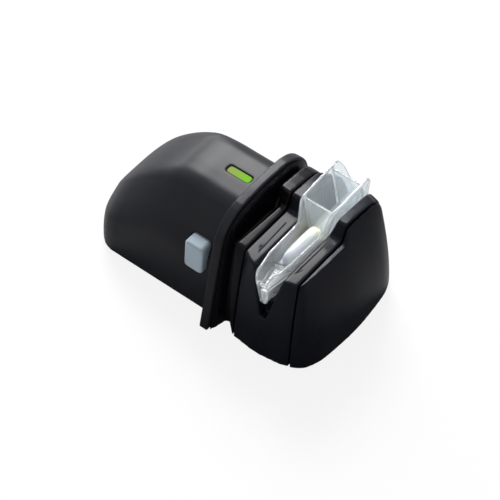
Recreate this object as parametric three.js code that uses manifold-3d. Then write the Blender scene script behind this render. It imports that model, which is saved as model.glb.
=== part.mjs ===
// Electric knife sharpener: a domed battery housing with an arch-shaped hand guard,
// a black head with a V slot across it, and a clear blade guide over a grinding wheel.
// Lengths in millimetres, +Z up, the blade slot runs along X, the dome points to +Y.
// While the pieces are made, the front face of the guard is at y = 0 and the underside
// of the housing is at z = 0. The finished group is moved so that it stands on z = 0.
import * as THREE from "three";
import { mergeVertices } from "three/addons/utils/BufferGeometryUtils.js";
import Module from "manifold-3d";

const wasm = await Module();
wasm.setup();

// Clearances and wall thicknesses
const partGap = 0.3;
const runningGap = 0.05;
const slideGap = 0.35;
const cutPast = 1;
const wall = 2.2;
const thinWall = 1.5;
const weldDistance = 0.0002;

// Sides of round parts, by size
const roundSides = { large: 36, usual: 24, small: 16, tiny: 10 };

// Guard: the arch-shaped plate between the hand and the blade
const guard = { half: 46.7, topHalf: 29.8, height: 68, radius: 20.6, crown: 0.7, thick: 5.2 };

// Dome: one section, given as shares of its half width and height, that narrows in plan and
// drops in height towards the rear
const dome = { half: 37.2, height: 63.9, rear: 93.7 };
const domeSectionShares = [[1, 0], [0.985, 0.19], [0.955, 0.375], [0.895, 0.56], [0.79, 0.69],
  [0.66, 0.81], [0.545, 0.905], [0.46, 0.963], [0.36, 0.988], [0.18, 0.998], [0, 1]];
const domePlanStart = 71.5;
const domeDropStart = 37.4;
const domePlanPower = 1.61;
const domeDropPower = 1.39;
const domeStationShares = [0, 0.1, 0.22, 0.36, 0.45, 0.54, 0.62, 0.69, 0.75, 0.8, 0.85, 0.89,
  0.925, 0.95, 0.97, 0.985, 0.995, 0.9995];
const domeLeastShare = 0.02;
const domePlanFromShare = 0.6;

// Head: plan outlines at the base and at the level of the low step, as shares of the
// half width and of the depth forward of the rear parting plane
const headRear = -12;
const headBaseHalf = 42.2;
const headBaseDepth = 45.2;
const headStepHalf = 35.2;
const headStepDepth = 36;
const headStepLevel = 56.5;
const headSidePower = 1.4;
const headFrontPower = 2;
const headBaseShares = [[0, 0], [0.972, 0], [0.983, 0.106], [1, 0.257], [0.998, 0.392],
  [0.981, 0.518], [0.96, 0.637], [0.929, 0.717], [0.898, 0.783], [0.86, 0.836], [0.82, 0.874],
  [0.763, 0.903], [0.64, 0.947], [0.481, 0.971], [0.308, 0.986], [0.133, 0.997], [0, 1]];
const headStepShares = [[0, 0], [0.865, 0], [0.945, 0.125], [0.989, 0.25], [1, 0.48],
  [0.98, 0.67], [0.955, 0.8], [0.928, 0.885], [0.913, 0.918], [0.886, 0.941], [0.852, 0.957],
  [0.795, 0.966], [0.682, 0.977], [0.548, 0.985], [0.341, 0.992], [0.142, 0.997], [0, 1]];
const headLevelShares = [0, 0.14, 0.28, 0.42, 0.56, 0.68, 0.79, 0.88, 0.95, 1];
const headLeastShare = 0.05;
const highStep = 8.7;
const highLevel = headStepLevel + highStep;
const shoulderDrop = 13.2;
const shoulderStart = highLevel - shoulderDrop;
const shoulderRise = shoulderDrop + cutPast;
const shoulderPower = 3;

// Head section across the width: low step, ramp and gently crowned high step
const rampFoot = 1.6;
const rampHead = 4.6;
const rampSoft = 0.9;
const crownDrop = 5.6;
const crownStationShares = [0.2, 0.31, 0.43, 0.55, 0.66, 0.78, 1];
const crownPast = 1.8;
const crownReach = headBaseHalf + crownPast;
const frontPartingShare = 0.719;
const frontParting = headRear - frontPartingShare * headBaseDepth;

// Blade slot: a V across the head, along X
const slotShare = 0.3783;
const slotCentre = headRear - slotShare * headBaseDepth;
const slotDepth = 29.5;
const slotBottom = headStepLevel - slotDepth;
const slotBottomHalf = 1.5;
const slotStepHalf = 8.2;
const saddleHigh = 11.2;
const slotSaddleTop = slotBottom + saddleHigh;
const saddleInset = 0.7;
const saddleLong = 6;
const slotSaddleOuter = headStepHalf - saddleInset;
const slotSaddleInner = slotSaddleOuter - saddleLong;

// Neck: the waisted ring between the guard and the head
const neckWaist = 5;
const neckFlare = 1;
const neckStripWidths = { side: 1.1, corner: 5.3, middle: 2.3, high: 6.1 };

// Axes of the drive
const wheelAxisX = -9.2;
const driveDepth = 17;
const driveHeight = headStepLevel - driveDepth;
const gearModule = 0.5;
const gearTeeth = 30;
const pinionTeeth = 12;
const driveSpread = (gearModule * (gearTeeth + pinionTeeth)) / 2;
const motorAxisX = wheelAxisX + driveSpread;

// Feet lift the housing by this much
const footStand = 0.8;

// Finishes: colour, roughness, metalness
const finishes = {
  dome: [0x3a3b3f, 0.6, 0],
  gloss: [0x101114, 0.25, 0],
  clear: [0xdfe9ea, 0.1, 0],
  cream: [0xe9e6d6, 0.35, 0],
  button: [0x9aafb9, 0.45, 0],
  lens: [0x8fd030, 0.2, 0],
  stone: [0x8f9294, 0.9, 0],
  steel: [0xb9bcc0, 0.35, 1],
  bronze: [0xa98a4f, 0.45, 1],
  nylon: [0xe6e2d4, 0.5, 0],
  can: [0xa9adb2, 0.3, 1],
  board: [0x1f6b3a, 0.5, 0],
  rubber: [0x1b1b1c, 0.9, 0],
  cell: [0xb98a3a, 0.35, 0.6],
  inner: [0x55585c, 0.7, 0],
};

// Solids from meshes

// One closed solid from a geometry, turned outwards if it was made inside out.
function solidOf(geometry) {
  const bare = geometry.index ? geometry.toNonIndexed() : geometry.clone();
  bare.deleteAttribute("normal");
  bare.deleteAttribute("uv");
  const welded = mergeVertices(bare, weldDistance);
  const at = welded.attributes.position.array;
  const corners = [];
  let volume = 0;
  for (let i = 0; i < welded.index.count; i += 3) {
    const [a, b, c] = [0, 1, 2].map((k) => welded.index.array[i + k]);
    if (a === b || b === c || a === c) continue;
    corners.push(a, b, c);
    const [p, q, r] = [a, b, c].map((k) => new THREE.Vector3().fromArray(at, 3 * k));
    volume += p.dot(q.cross(r));
  }
  if (volume < 0) corners.reverse();
  const mesh = new wasm.Mesh({
    numProp: 3,
    vertProperties: new Float32Array(at),
    triVerts: new Uint32Array(corners),
  });
  return new wasm.Manifold(mesh);
}

// Twice the signed area of the triangle a, b, c in its own plane.
function turnOf(a, b, c) {
  return (b[0] - a[0]) * (c[1] - a[1]) - (b[1] - a[1]) * (c[0] - a[0]);
}

// Triangles that close an outline: a fan from its middle where every edge can be seen
// from there, otherwise a cut-up that uses the outline's own points.
function capOf(outline) {
  const count = outline.length;
  const middle = [0, 1].map((k) => outline.reduce((sum, p) => sum + p[k], 0) / count);
  const seen = outline.every((p, i) => turnOf(middle, p, outline[(i + 1) % count]) > 0);
  if (seen) return { middle, faces: outline.map((p, i) => [i, (i + 1) % count, count]) };
  const contour = outline.map(([u, v]) => new THREE.Vector2(u, v));
  const faces = THREE.ShapeUtils.triangulateShape(contour, []).map(([a, b, c]) =>
    turnOf(outline[a], outline[b], outline[c]) < 0 ? [a, c, b] : [a, b, c],
  );
  return { middle: null, faces };
}

// A closed body through outlines with equally many points. The function place gives the
// point in space of outline point u, v on ring number ring, and i is the point's number.
function loft(outlines, place) {
  const turned = THREE.ShapeUtils.isClockWise(outlines[0].map(([u, v]) => new THREE.Vector2(u, v)));
  const numbers = outlines[0].map((_, i) => (turned ? outlines[0].length - 1 - i : i));
  const rings = outlines.map((outline) => numbers.map((i) => outline[i]));
  const space = rings.map((ring, r) => ring.map(([u, v], k) => place(u, v, r, numbers[k])));
  const count = numbers.length;
  const triangles = [];
  for (let r = 0; r + 1 < rings.length; r++)
    for (let i = 0; i < count; i++) {
      const j = (i + 1) % count;
      triangles.push([space[r][i], space[r][j], space[r + 1][j]]);
      triangles.push([space[r][i], space[r + 1][j], space[r + 1][i]]);
    }
  for (const [r, way] of [[0, -1], [rings.length - 1, 1]]) {
    const { middle, faces } = capOf(rings[r]);
    const points = [...space[r]];
    if (middle) {
      const mean = new THREE.Vector3();
      space[r].forEach((p) => mean.add(p));
      points.push(mean.divideScalar(count));
    }
    for (const [a, b, c] of faces)
      triangles.push(way > 0 ? [points[a], points[b], points[c]] : [points[a], points[c], points[b]]);
  }
  const geometry = new THREE.BufferGeometry().setFromPoints(triangles.flat());
  return solidOf(geometry);
}

// Prisms: an outline pushed from one station to another along an axis
const prismX = (outline, from, to) =>
  loft([outline, outline], (y, z, ring) => new THREE.Vector3(ring ? to : from, y, z));
const prismY = (outline, from, to) =>
  loft([outline, outline], (x, z, ring) => new THREE.Vector3(x, ring ? to : from, z));
const prismZ = (outline, from, to) =>
  loft([outline, outline], (x, y, ring) => new THREE.Vector3(x, y, ring ? to : from));

// A box between two corners, given as ranges along x, y and z.
function box([x0, x1], [y0, y1], [z0, z1]) {
  const geometry = new THREE.BoxGeometry(x1 - x0, y1 - y0, z1 - z0);
  geometry.translate((x0 + x1) / 2, (y0 + y1) / 2, (z0 + z1) / 2);
  return solidOf(geometry);
}

// A turned body. The profile lists radius and station along the axis, and ends on the axis
// or where it started. The axis is "x", "y" or "z", through the point given.
function turned(profile, axis, [x, y, z], sides = roundSides.usual) {
  const points = profile.map(([radius, station]) => new THREE.Vector2(radius, station));
  const geometry = new THREE.LatheGeometry(points, sides);
  if (axis === "x") geometry.rotateZ(-Math.PI / 2);
  if (axis === "z") geometry.rotateX(Math.PI / 2);
  geometry.translate(x, y, z);
  return solidOf(geometry);
}

// A plain round rod from one station to another.
const rod = (radius, from, to, axis, centre, sides = roundSides.usual) =>
  turned([[0, from], [radius, from], [radius, to], [0, to]], axis, centre, sides);

// A round tube: outer radius, bore radius, from one station to another.
const tube = (outer, bore, from, to, axis, centre, sides = roundSides.usual) =>
  turned([[bore, from], [outer, from], [outer, to], [bore, to], [bore, from]], axis, centre, sides);

// A rectangle with round corners, steps segments to each corner.
function roundedRectangle(u0, u1, v0, v1, radius, steps = 4) {
  const points = [];
  const centres = [[u1 - radius, v0 + radius, -1], [u1 - radius, v1 - radius, 0],
    [u0 + radius, v1 - radius, 1], [u0 + radius, v0 + radius, 2]];
  for (const [u, v, quarter] of centres)
    for (let i = 0; i <= steps; i++) {
      const angle = ((quarter + i / steps) * Math.PI) / 2;
      points.push([u + radius * Math.cos(angle), v + radius * Math.sin(angle)]);
    }
  return points;
}

// The outline moved inwards by a distance; a negative distance moves it outwards.
function inset(outline, distance) {
  const count = outline.length;
  return outline.map((p, i) => {
    const before = outline[(i + count - 1) % count];
    const after = outline[(i + 1) % count];
    const [a, b] = [[before, p], [p, after]].map(([s, e]) => {
      const length = Math.hypot(e[0] - s[0], e[1] - s[1]);
      return [(e[1] - s[1]) / length, (s[0] - e[0]) / length];
    });
    const share = distance / (1 + a[0] * b[0] + a[1] * b[1]);
    return [p[0] - (a[0] + b[0]) * share, p[1] - (a[1] + b[1]) * share];
  });
}

const mix = (a, b, share) => a + (b - a) * share;

// Outlines and sections that several pieces share

const archTopShares = [0.5, 0, -0.5];

// Arch with leaning sides, round shoulders and a slightly crowned top, in x and z.
function archOutline({ half, topHalf, height, radius, crown }, shoulderSteps = 8) {
  const lean = half - topHalf;
  const slant = Math.hypot(lean, height);
  const [across, up] = [height / slant, lean / slant];
  const centre = topHalf - (radius * (1 - up)) / across;
  const start = Math.atan2(up, across);
  const right = [[half, 0]];
  for (let i = 0; i <= shoulderSteps; i++) {
    const angle = mix(start, Math.PI / 2, i / shoulderSteps);
    right.push([centre + radius * Math.cos(angle), height - radius + radius * Math.sin(angle)]);
  }
  const top = archTopShares.map((share) => [centre * share, height + crown * (1 - share ** 2)]);
  const left = right.map(([x, z]) => [-x, z]).reverse();
  return [...right, ...top, ...left];
}

// An arch smaller than the given one all round.
const smallerArch = (arch, by) => ({
  half: arch.half - by,
  topHalf: arch.topHalf - by * (1 - (arch.half - arch.topHalf) / arch.height),
  height: arch.height - by,
  radius: arch.radius - by,
  crown: arch.crown,
});

// Share of the full width or height that is left at station y of the dome.
function domeShare(y, start, power, rear) {
  if (y <= start) return 1;
  const run = Math.min(1, (y - start) / (rear - start));
  return Math.max(domeLeastShare, (1 - run ** power) ** (1 / power));
}

// The dome's section in x and z, smaller by a distance, standing on z = 0.
function domeOutline(by) {
  const right = domeSectionShares.map(([x, z]) => [x * dome.half, z * dome.height]);
  const left = right.slice(0, -1).map(([x, z]) => [-x, z]).reverse();
  const outline = [...right, ...left];
  const last = outline.length - 1;
  return inset(outline, by).map(([x, z], i) => [x, i === 0 || i === last ? 0 : z]);
}

// The dome's body, smaller by a distance, from station front to its rear end. Where foot is
// below zero the body goes down to that level, to cut the dome open from below.
function domeBody(by, front, foot = 0) {
  const rear = dome.rear - by;
  const outline = domeOutline(by);
  const stations = domeStationShares.map((share) => mix(front, rear, share));
  return loft(stations.map(() => outline), (x, z, ring) => {
    const y = stations[ring];
    const drop = domeShare(y, domeDropStart, domeDropPower, rear);
    const narrow = domeShare(y, domePlanStart, domePlanPower, rear);
    return new THREE.Vector3(x * narrow, y, z === 0 ? foot : z * drop);
  });
}

// The dome's plan outline at the base, smaller by a distance.
function domePlan(by, front) {
  const rear = dome.rear - by;
  const stations = domeStationShares.filter((share) => share === 0 || share > domePlanFromShare);
  const side = stations.map((share) => {
    const y = mix(front, rear, share);
    return [(dome.half - by) * domeShare(y, domePlanStart, domePlanPower, rear), y];
  });
  return [...side, ...side.map(([x, y]) => [-x, y]).reverse()];
}

// Half width of the rounded right shoulder of the head at a level, as a share.
function shoulderShare(z) {
  if (z <= shoulderStart) return 1;
  const run = Math.min(1, (z - shoulderStart) / shoulderRise);
  return Math.max(headLeastShare, (1 - run ** shoulderPower) ** (1 / shoulderPower));
}

// Right half of the head's plan outline at a level, smaller by a distance.
function headPlan(z, by) {
  const share = Math.max(0, z) / headStepLevel;
  return headBaseShares.map(([baseX, baseY], i) => {
    const [stepX, stepY] = headStepShares[i];
    const x = mix(baseX * headBaseHalf, stepX * headStepHalf, share ** headSidePower);
    const depth = mix(baseY * headBaseDepth, stepY * headStepDepth, share ** headFrontPower);
    const [full, deep] = [x, headRear - depth];
    const scale = 1 - by / headBaseHalf;
    const shrink = Math.min(1, depth / headStepDepth);
    return [full * scale, deep + by * shrink];
  });
}

// The head's envelope without its top: plan outlines stacked from foot to the high level.
function headEnvelope(by, foot) {
  const top = shoulderStart + shoulderRise - by;
  const levels = headLevelShares.map((share) => mix(0, top, share));
  const heights = foot < 0 ? [foot, ...levels] : levels;
  const outlines = heights.map((z) => {
    const right = headPlan(z, by);
    const left = right.slice(1, -1).map(([x, y]) => [-x, y]).reverse();
    const round = shoulderShare(z + by);
    return [...right.map(([x, y]) => [x * round, y]), ...left];
  });
  return loft(outlines, (x, y, ring) => new THREE.Vector3(x, y, heights[ring]));
}

// Height of the crowned high step at station x.
const crownAt = (x) => highLevel - crownDrop * (x / headStepHalf) ** 2;

// The head's top line as an outline in x and z, lowered by a distance and closed at foot.
function headSection(by, foot) {
  const crown = crownStationShares.map((share) => share * crownReach)
    .map((x) => [x, crownAt(x)]);
  const ramp = [[rampHead + rampSoft, crownAt(rampHead)], [rampHead, crownAt(rampHead) - rampSoft],
    [rampFoot, headStepLevel + rampSoft], [rampFoot - rampSoft, headStepLevel]];
  const line = [...crown.reverse(), ...ramp].map(([x, z]) => [x + by, z - by]);
  return [[crownReach + by, foot], ...line, [-crownReach - by, headStepLevel - by],
    [-crownReach - by, foot]];
}

// The head as one body, smaller by a distance all round, down to foot.
function headBody(by, foot = 0) {
  const length = [headRear + cutPast, headRear - headBaseDepth - cutPast];
  const under = Math.min(foot, 0) - cutPast;
  return headEnvelope(by, foot).intersect(prismY(headSection(by, under), ...length));
}

// Everything between two stations along y, to cut a body into lengths.
const slabY = (from, to) =>
  box([-crownReach - cutPast, crownReach + cutPast], [from, to],
    [-guard.height, guard.height + guard.height]);

// Screw bosses, screws and feet: places in plan, and sizes
const bothSides = [-1, 1];
const headScrewShare = 0.7346;
const headScrews = bothSides.map((side) => [side * headScrewShare * headBaseHalf, slotCentre]);
const headFootShares = [0.6635, 0.708];
const headFeet = bothSides.map((side) =>
  [side * headFootShares[0] * headBaseHalf, headRear - headFootShares[1] * headBaseDepth]);
const inDome = ([x, y]) => bothSides.map((side) => [side * x * dome.half, y * dome.rear]);
const housingScrewShares = [0.2688, 0.8218];
const housingScrews = inDome(housingScrewShares);
const housingFootShares = [0.5914, 0.8324];
const housingFeet = inDome(housingFootShares);
const bossRadius = 3.4;
const bossHole = 1.6;
const bossHoleTop = 14;
const screwShank = 1.25;
const screwHead = 2.7;
const screwHeadLow = 0.4;
const screwHeadHigh = 1.5;
const screwTip = 12;
const screwPointed = 0.9;
const footRadius = 5;
const footTop = 0.7;
const footEdge = 0.4;
const plateTop = 2.2;
const plateGap = 1.2;

// A base plate's holes for its screws and feet.
function drilled(plate, screws, feet) {
  let body = plate;
  for (const [x, y] of screws) {
    const mouth = screwHead + partGap;
    const sunk = [[0, -cutPast], [mouth, -cutPast], [mouth, screwHeadHigh + partGap],
      [bossHole, screwHeadHigh + partGap], [bossHole, plateTop + cutPast],
      [0, plateTop + cutPast]];
    body = body.subtract(turned(sunk, "z", [x, y, 0], roundSides.small));
  }
  for (const [x, y] of feet) {
    const hole = rod(footRadius + partGap, -cutPast, footTop + partGap, "z", [x, y, 0]);
    body = body.subtract(hole);
  }
  return body;
}

// Boss with a blind hole for a screw, from above the base plate up to a level.
function boss(x, y, top) {
  return rod(bossRadius, plateTop + partGap, top, "z", [x, y, 0], roundSides.small);
}
const bossBore = (x, y) => rod(bossHole, 0, bossHoleTop, "z", [x, y, 0], roundSides.small);

// Push button on the left side of the dome, and the window it slides in
const buttonToGuard = 4.8;
const buttonFrom = guard.thick + buttonToGuard;
const buttonLong = 11.6;
const buttonY = [buttonFrom, buttonFrom + buttonLong];
const buttonZShares = [0.4163, 0.6886];
const buttonZ = buttonZShares.map((share) => share * dome.height);
const buttonFaceShares = [1.0108, 0.9677];
const buttonFace = buttonFaceShares.map((share) => -share * dome.half);
const buttonRound = 2.4;
const buttonEdge = 1.5;
const buttonEdgeShares = [[0, 1], [0.3, 0.35], [1, 0]];
const buttonCornerSteps = 4;
const buttonInnerShare = 0.672;
const buttonInner = -buttonInnerShare * dome.half;
const buttonLip = 1.1;
const buttonLipThick = 1.2;
const buttonTravel = 1.5;

function buttonSection(grow) {
  const [y0, y1] = [buttonY[0] - grow, buttonY[1] + grow];
  const [z0, z1] = [buttonZ[0] - grow, buttonZ[1] + grow];
  return roundedRectangle(y0, y1, z0, z1, buttonRound + Math.min(0, grow), buttonCornerSteps);
}

function makeButton() {
  const depths = buttonEdgeShares.map(([depth]) => depth * buttonEdge);
  const insets = buttonEdgeShares.map(([, by]) => by * buttonEdge);
  const leanOf = (z) => mix(buttonFace[0], buttonFace[1],
    (z - buttonZ[0]) / (buttonZ[1] - buttonZ[0]));
  const outlines = [...insets.map((by) => inset(buttonSection(0), by)), buttonSection(0)];
  const cap = loft(outlines, (y, z, ring) =>
    new THREE.Vector3(ring < depths.length ? leanOf(z) + depths[ring] : buttonInner, y, z));
  const lip = prismX(buttonSection(buttonLip), buttonInner - buttonLipThick / 2,
    buttonInner + buttonLipThick / 2);
  const stem = box([buttonInner, plungerTip - partGap], [plungerY - plungerRadius,
    plungerY + plungerRadius], [plungerZ - plungerRadius, plungerZ + plungerRadius]);
  return cap.add(lip).add(stem);
}

// Indicator window on the top of the dome
const lensToGuard = 3.5;
const lensFrom = guard.thick + lensToGuard;
const lensLong = 14.3;
const lensY = [lensFrom, lensFrom + lensLong];
const lensHalf = 2.5;
const lensSunk = 0.5;
const lensLip = 0.9;
const lensLipThick = 1;
const lensRoof = 0.7;
const lensLipTop = dome.height - wall - lensRoof;
const lensLipBottom = lensLipTop - lensLipThick;
const lensCornerSteps = 6;
const leastFlat = 0.01;

// Circuit board under the top of the dome, on four posts, with the indicator lamp
const boardX = 11;
const boardToGuard = 4.3;
const boardFrom = guard.thick + boardToGuard;
const boardLong = 23.5;
const boardY = [boardFrom, boardFrom + boardLong];
const boardThick = 1.6;
const boardDrop = 2.2;
const boardTop = lensLipBottom - boardDrop;
const boardPostInset = 2.5;
const boardPosts = bothSides.flatMap((side) => [boardY[0] + boardPostInset,
  boardY[1] - boardPostInset].map((y) => [side * (boardX - boardPostInset), y]));
const boardPostRadius = 1.6;
const chipHigh = 1;
const chipShares = [{ x: -0.55, y: 0.45, halfX: 0.27, halfY: 0.1 },
  { x: 0.5, y: 0.64, halfX: 0.18, halfY: 0.136 }];
const lampY = (lensY[0] + lensY[1]) / 2;
const lampHalf = 1.4;
const lampHigh = 1.6;
const lampRoundShare = 0.8;

const lensOutline = (grow) =>
  roundedRectangle(-lensHalf - grow, lensHalf + grow, lensY[0] - grow, lensY[1] + grow,
    lensHalf + grow - leastFlat, lensCornerSteps);

function makeLens() {
  const window = prismZ(lensOutline(-partGap), lensLipTop - lensLip / 2, dome.height - lensSunk);
  return window.add(prismZ(lensOutline(lensLip), lensLipBottom, lensLipTop));
}

// Bearings and the shaft they carry
const shaftRadius = 2;
const bearingBore = shaftRadius + runningGap;
const bearingOuter = 4.5;
const bearingFlange = 6;
const bearingFlangeThick = 1;
const bearingInset = 0.8;
const bearingProud = 1.3;
const rearBearing = [bearingInset, guard.thick + bearingProud];
const frontBearingInset = 1.6;
const frontBearingToWheel = 5.7;
const frontBearing = [frontParting + frontBearingInset, slotCentre - frontBearingToWheel];
const wheelAxis = [wheelAxisX, 0, driveHeight];
const motorAxis = [motorAxisX, 0, driveHeight];

// Guard and dome in one piece, hollow, with the front wall that carries the rear bearing.
function makeRearHousing() {
  const plate = prismY(archOutline(guard), 0, guard.thick);
  let body = plate.add(domeBody(0, guard.thick - cutPast));
  body = body.subtract(domeBody(wall, guard.thick, -cutPast));
  const roofed = domeBody(wall / 2, guard.thick);
  for (const [x, y] of housingScrews) body = body.add(boss(x, y, dome.height).intersect(roofed));
  for (const [x, y] of boardPosts) {
    const post = rod(boardPostRadius, boardTop + partGap, dome.height - wall / 2, "z", [x, y, 0],
      roundSides.tiny);
    body = body.add(post);
  }
  for (const [x, y] of housingScrews) body = body.subtract(bossBore(x, y));
  const window = prismX(buttonSection(slideGap), -dome.half - cutPast, buttonInner);
  const slot = prismZ(lensOutline(0), lensLipTop, dome.height + guard.height);
  const seat = rod(bearingOuter + partGap, -cutPast, guard.thick + cutPast, "y", wheelAxis);
  return body.subtract(window).subtract(slot).subtract(seat);
}

// The ramp between the low and the high step, from the high end down.
const rampLine = () => [[rampHead + rampSoft, crownAt(rampHead)],
  [rampHead, crownAt(rampHead) - rampSoft], [rampFoot, headStepLevel + rampSoft],
  [rampFoot - rampSoft, headStepLevel]];

// Neck section at the head's rear end, in x and z, from the lower right round to the left.
const neckSideShares = [0, 0.2, 0.4, 0.58, 0.75, 0.88];
const neckShoulderShares = [0.2, 0.42, 0.62];
const neckCrownShares = [0.68, 0.5, 0.31];
const neckLowShares = [0.23, 0.48, 0.71];
const neckCornerShares = [[0.835, 1], [0.864, 0.977]];
function neckSection() {
  const sideX = (z) => headPlan(z, 0)[1][0];
  const side = neckSideShares.map((share) => share * headStepLevel).map((z) => [sideX(z), z]);
  const rise = highLevel - shoulderStart;
  const shoulder = neckShoulderShares.map((share) => shoulderStart + share * rise)
    .map((z) => [sideX(z) * shoulderShare(z), z]);
  const crown = neckCrownShares.map((share) => share * headStepHalf).map((x) => [x, crownAt(x)]);
  const low = neckLowShares.map((share) => [-share * headStepHalf, headStepLevel]);
  const neckCorner = neckCornerShares.map(([x, z]) => [-x * headStepHalf, z * headStepLevel]);
  const left = side.map(([x, z]) => [-x, z]).reverse();
  return [...side, ...shoulder, ...crown, ...rampLine(), ...low, ...neckCorner, ...left];
}

// Where the strip beside the head ends and the waist begins, for a point of the section.
function neckStrip([x, z]) {
  const { side, corner, middle, high } = neckStripWidths;
  if (z < headStepLevel - cutPast) {
    return headRear + mix(side, corner, z / headStepLevel);
  }
  if (x > rampHead) return headRear + high;
  if (x > rampFoot - rampSoft) return headRear + (middle + high) / 2;
  return headRear + mix(middle, corner, -x / headStepHalf);
}

// The point of an outline that lies in the same direction from the middle of its foot.
function alongRay(outline, [x, z]) {
  for (let i = 0; i + 1 < outline.length; i++) {
    const [a, b] = [outline[i], outline[i + 1]];
    const [sideA, sideB] = [a, b].map((p) => x * p[1] - z * p[0]);
    if (sideA > 0 || sideB < 0 || sideA === sideB) continue;
    const share = sideA / (sideA - sideB);
    return [mix(a[0], b[0], share), mix(a[1], b[1], share)];
  }
  return outline[outline.length - 1];
}

// Stations of the waist as shares of the way from the strip to the foot of the flare,
// with the depth at each as a share of the full waist.
const neckWaistShares = [[0.26, 0.84], [0.5, 1], [0.78, 0.88]];
const neckFlareStart = -2;
const neckStripDrop = 0.5;
const neckHollowShares = [0, 0.4, 0.75];

function makeNeck() {
  const section = neckSection();
  const ground = (points) => points.map(([x, z], i) =>
    i === 0 || i === points.length - 1 ? [x, 0] : [x, z]);
  const arch = (by) => {
    const outline = archOutline(smallerArch(guard, by));
    return section.map((p) => alongRay(outline, p));
  };
  const strips = section.map(neckStrip);
  const outlines = [ground(inset(section, partGap)), ground(inset(section, neckStripDrop))];
  const stations = [section.map(() => headRear + partGap), strips];
  for (const [share, depth] of neckWaistShares) {
    outlines.push(ground(inset(section, neckWaist * depth)));
    stations.push(strips.map((y) => mix(y, neckFlareStart, share)));
  }
  outlines.push(arch(neckWaist - neckFlare), arch(neckFlare));
  stations.push(section.map(() => neckFlareStart), section.map(() => -partGap));
  const outer = loft(outlines, (x, z, ring, i) => new THREE.Vector3(x, stations[ring][i], z));
  const deep = neckWaist + thinWall;
  const hollowSide = neckHollowShares.map((share) => share * headStepLevel)
    .map((z) => [headPlan(z, 0)[1][0] - deep, Math.max(z, thinWall)]);
  const crownX = neckCrownShares[0] * headStepHalf;
  const hollowTop = [[crownX - deep / 2, crownAt(crownX) - deep],
    [rampHead + deep, crownAt(rampHead) - deep], [rampFoot + deep, headStepLevel - deep],
    [deep - neckCornerShares[0][0] * headStepHalf, headStepLevel - deep]];
  const inner = [...hollowSide, ...hollowTop, ...hollowSide.map(([x, z]) => [-x, z]).reverse()];
  return outer.subtract(prismY(inner, headRear, 0));
}

// The blade slot as an outline in y and z, wider by a distance.
function slotOutline(grow) {
  const slope = (slotStepHalf - slotBottomHalf) / (headStepLevel - slotBottom);
  const top = highLevel + cutPast + cutPast;
  const half = (z) => slotBottomHalf + slope * (z - slotBottom) + grow;
  return [[slotCentre - half(slotBottom), slotBottom - grow],
    [slotCentre + half(slotBottom), slotBottom - grow],
    [slotCentre + half(top), top], [slotCentre - half(top), top]];
}

// Wheel chamber and the wheel's own sizes, along the shaft from the middle of the slot
const chamberRadius = 16;
const chamberHalf = 7;
const chamberWall = 2;
const bearingBossRadius = 6.6;
const shaftPassage = 3.2;
const sideReach = headBaseHalf + guard.thick;
const arrowDepth = 0.3;
const arrowWide = 0.6;
const arrows = [{ across: 11.7, tailShare: 0.17, tipShare: 0.781 },
  { across: -10.5, tailShare: 0.142, tipShare: 0.767 }];
const arrowBarb = 1.9;
const arrowBarbLength = 4;

// A thin engraved arrow with half a head, lying on the low step.
function arrowGroove({ across, tailShare, tipShare }) {
  const [tail, tip] = [-tailShare * headStepHalf, -tipShare * headStepHalf];
  const barbEnd = tip + arrowBarbLength;
  const y = slotCentre + across;
  const outline = [[tip, y - arrowWide / 2], [tail, y - arrowWide / 2], [tail, y + arrowWide / 2],
    [barbEnd, y + arrowWide / 2], [barbEnd, y + arrowBarb]];
  return prismZ(outline, headStepLevel - arrowDepth, headStepLevel + cutPast);
}

// Main block of the head: a hollow moulding with the blade slot, the wheel chamber and the
// boss of the front bearing.
function makeHeadBody() {
  const front = frontParting + partGap / 2;
  const slot = prismX(slotOutline(0), -sideReach, sideReach);
  const chamber = (radius, half) =>
    rod(radius, slotCentre - half, slotCentre + half, "y", wheelAxis, roundSides.large);
  let hollow = headBody(wall, -cutPast).intersect(slabY(front + wall, headRear - wall));
  hollow = hollow.subtract(prismX(slotOutline(wall), -sideReach, sideReach));
  hollow = hollow.subtract(chamber(chamberRadius + chamberWall, chamberHalf + chamberWall));
  hollow = hollow.subtract(rod(bearingBossRadius, front, slotCentre - chamberHalf, "y", wheelAxis));
  for (const [x, y] of headScrews) hollow = hollow.subtract(boss(x, y, slotBottom));
  let body = headBody(0).intersect(slabY(front, headRear)).subtract(hollow).subtract(slot);
  body = body.subtract(chamber(chamberRadius, chamberHalf));
  for (const side of bothSides) {
    const reach = [slotSaddleInner * side, slotSaddleOuter * side].sort((a, b) => a - b);
    const saddle = prismX(slotOutline(wall / 2), ...reach);
    const halfWide = slotStepHalf + wall;
    body = body.add(saddle.intersect(box(reach, [slotCentre - halfWide, slotCentre + halfWide],
      [slotBottom - wall / 2, slotSaddleTop])));
  }
  const hole = [frontBearing[0] - partGap, slotCentre];
  const bearingHole = rod(bearingOuter + partGap, ...hole, "y", wheelAxis);
  const passage = rod(shaftPassage, slotCentre, headRear + cutPast, "y", wheelAxis);
  body = body.subtract(bearingHole).subtract(passage);
  for (const [x, y] of headScrews) body = body.subtract(bossBore(x, y));
  for (const arrow of arrows) body = body.subtract(arrowGroove(arrow));
  return body.subtract(headBaseBody(wall, -cutPast, plateTop + partGap));
}

// The head's base plate as a body, smaller by a distance, between two levels.
function headBaseBody(by, low, high) {
  const right = headPlan(0, by);
  const rear = headRear - by;
  const half = [[0, rear], [right[1][0], rear], ...right.slice(2)];
  const left = half.slice(1, -1).map(([x, y]) => [-x, y]).reverse();
  return prismZ([...half, ...left], low, high);
}

// Bowed front moulding, a shell that is open towards the block behind it.
function makeFrontCap() {
  const rear = frontParting - partGap / 2;
  const far = headRear - headBaseDepth - cutPast;
  const inner = headBody(wall, -cutPast).intersect(slabY(far, rear + cutPast));
  return headBody(0).intersect(slabY(far, rear)).subtract(inner);
}

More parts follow.
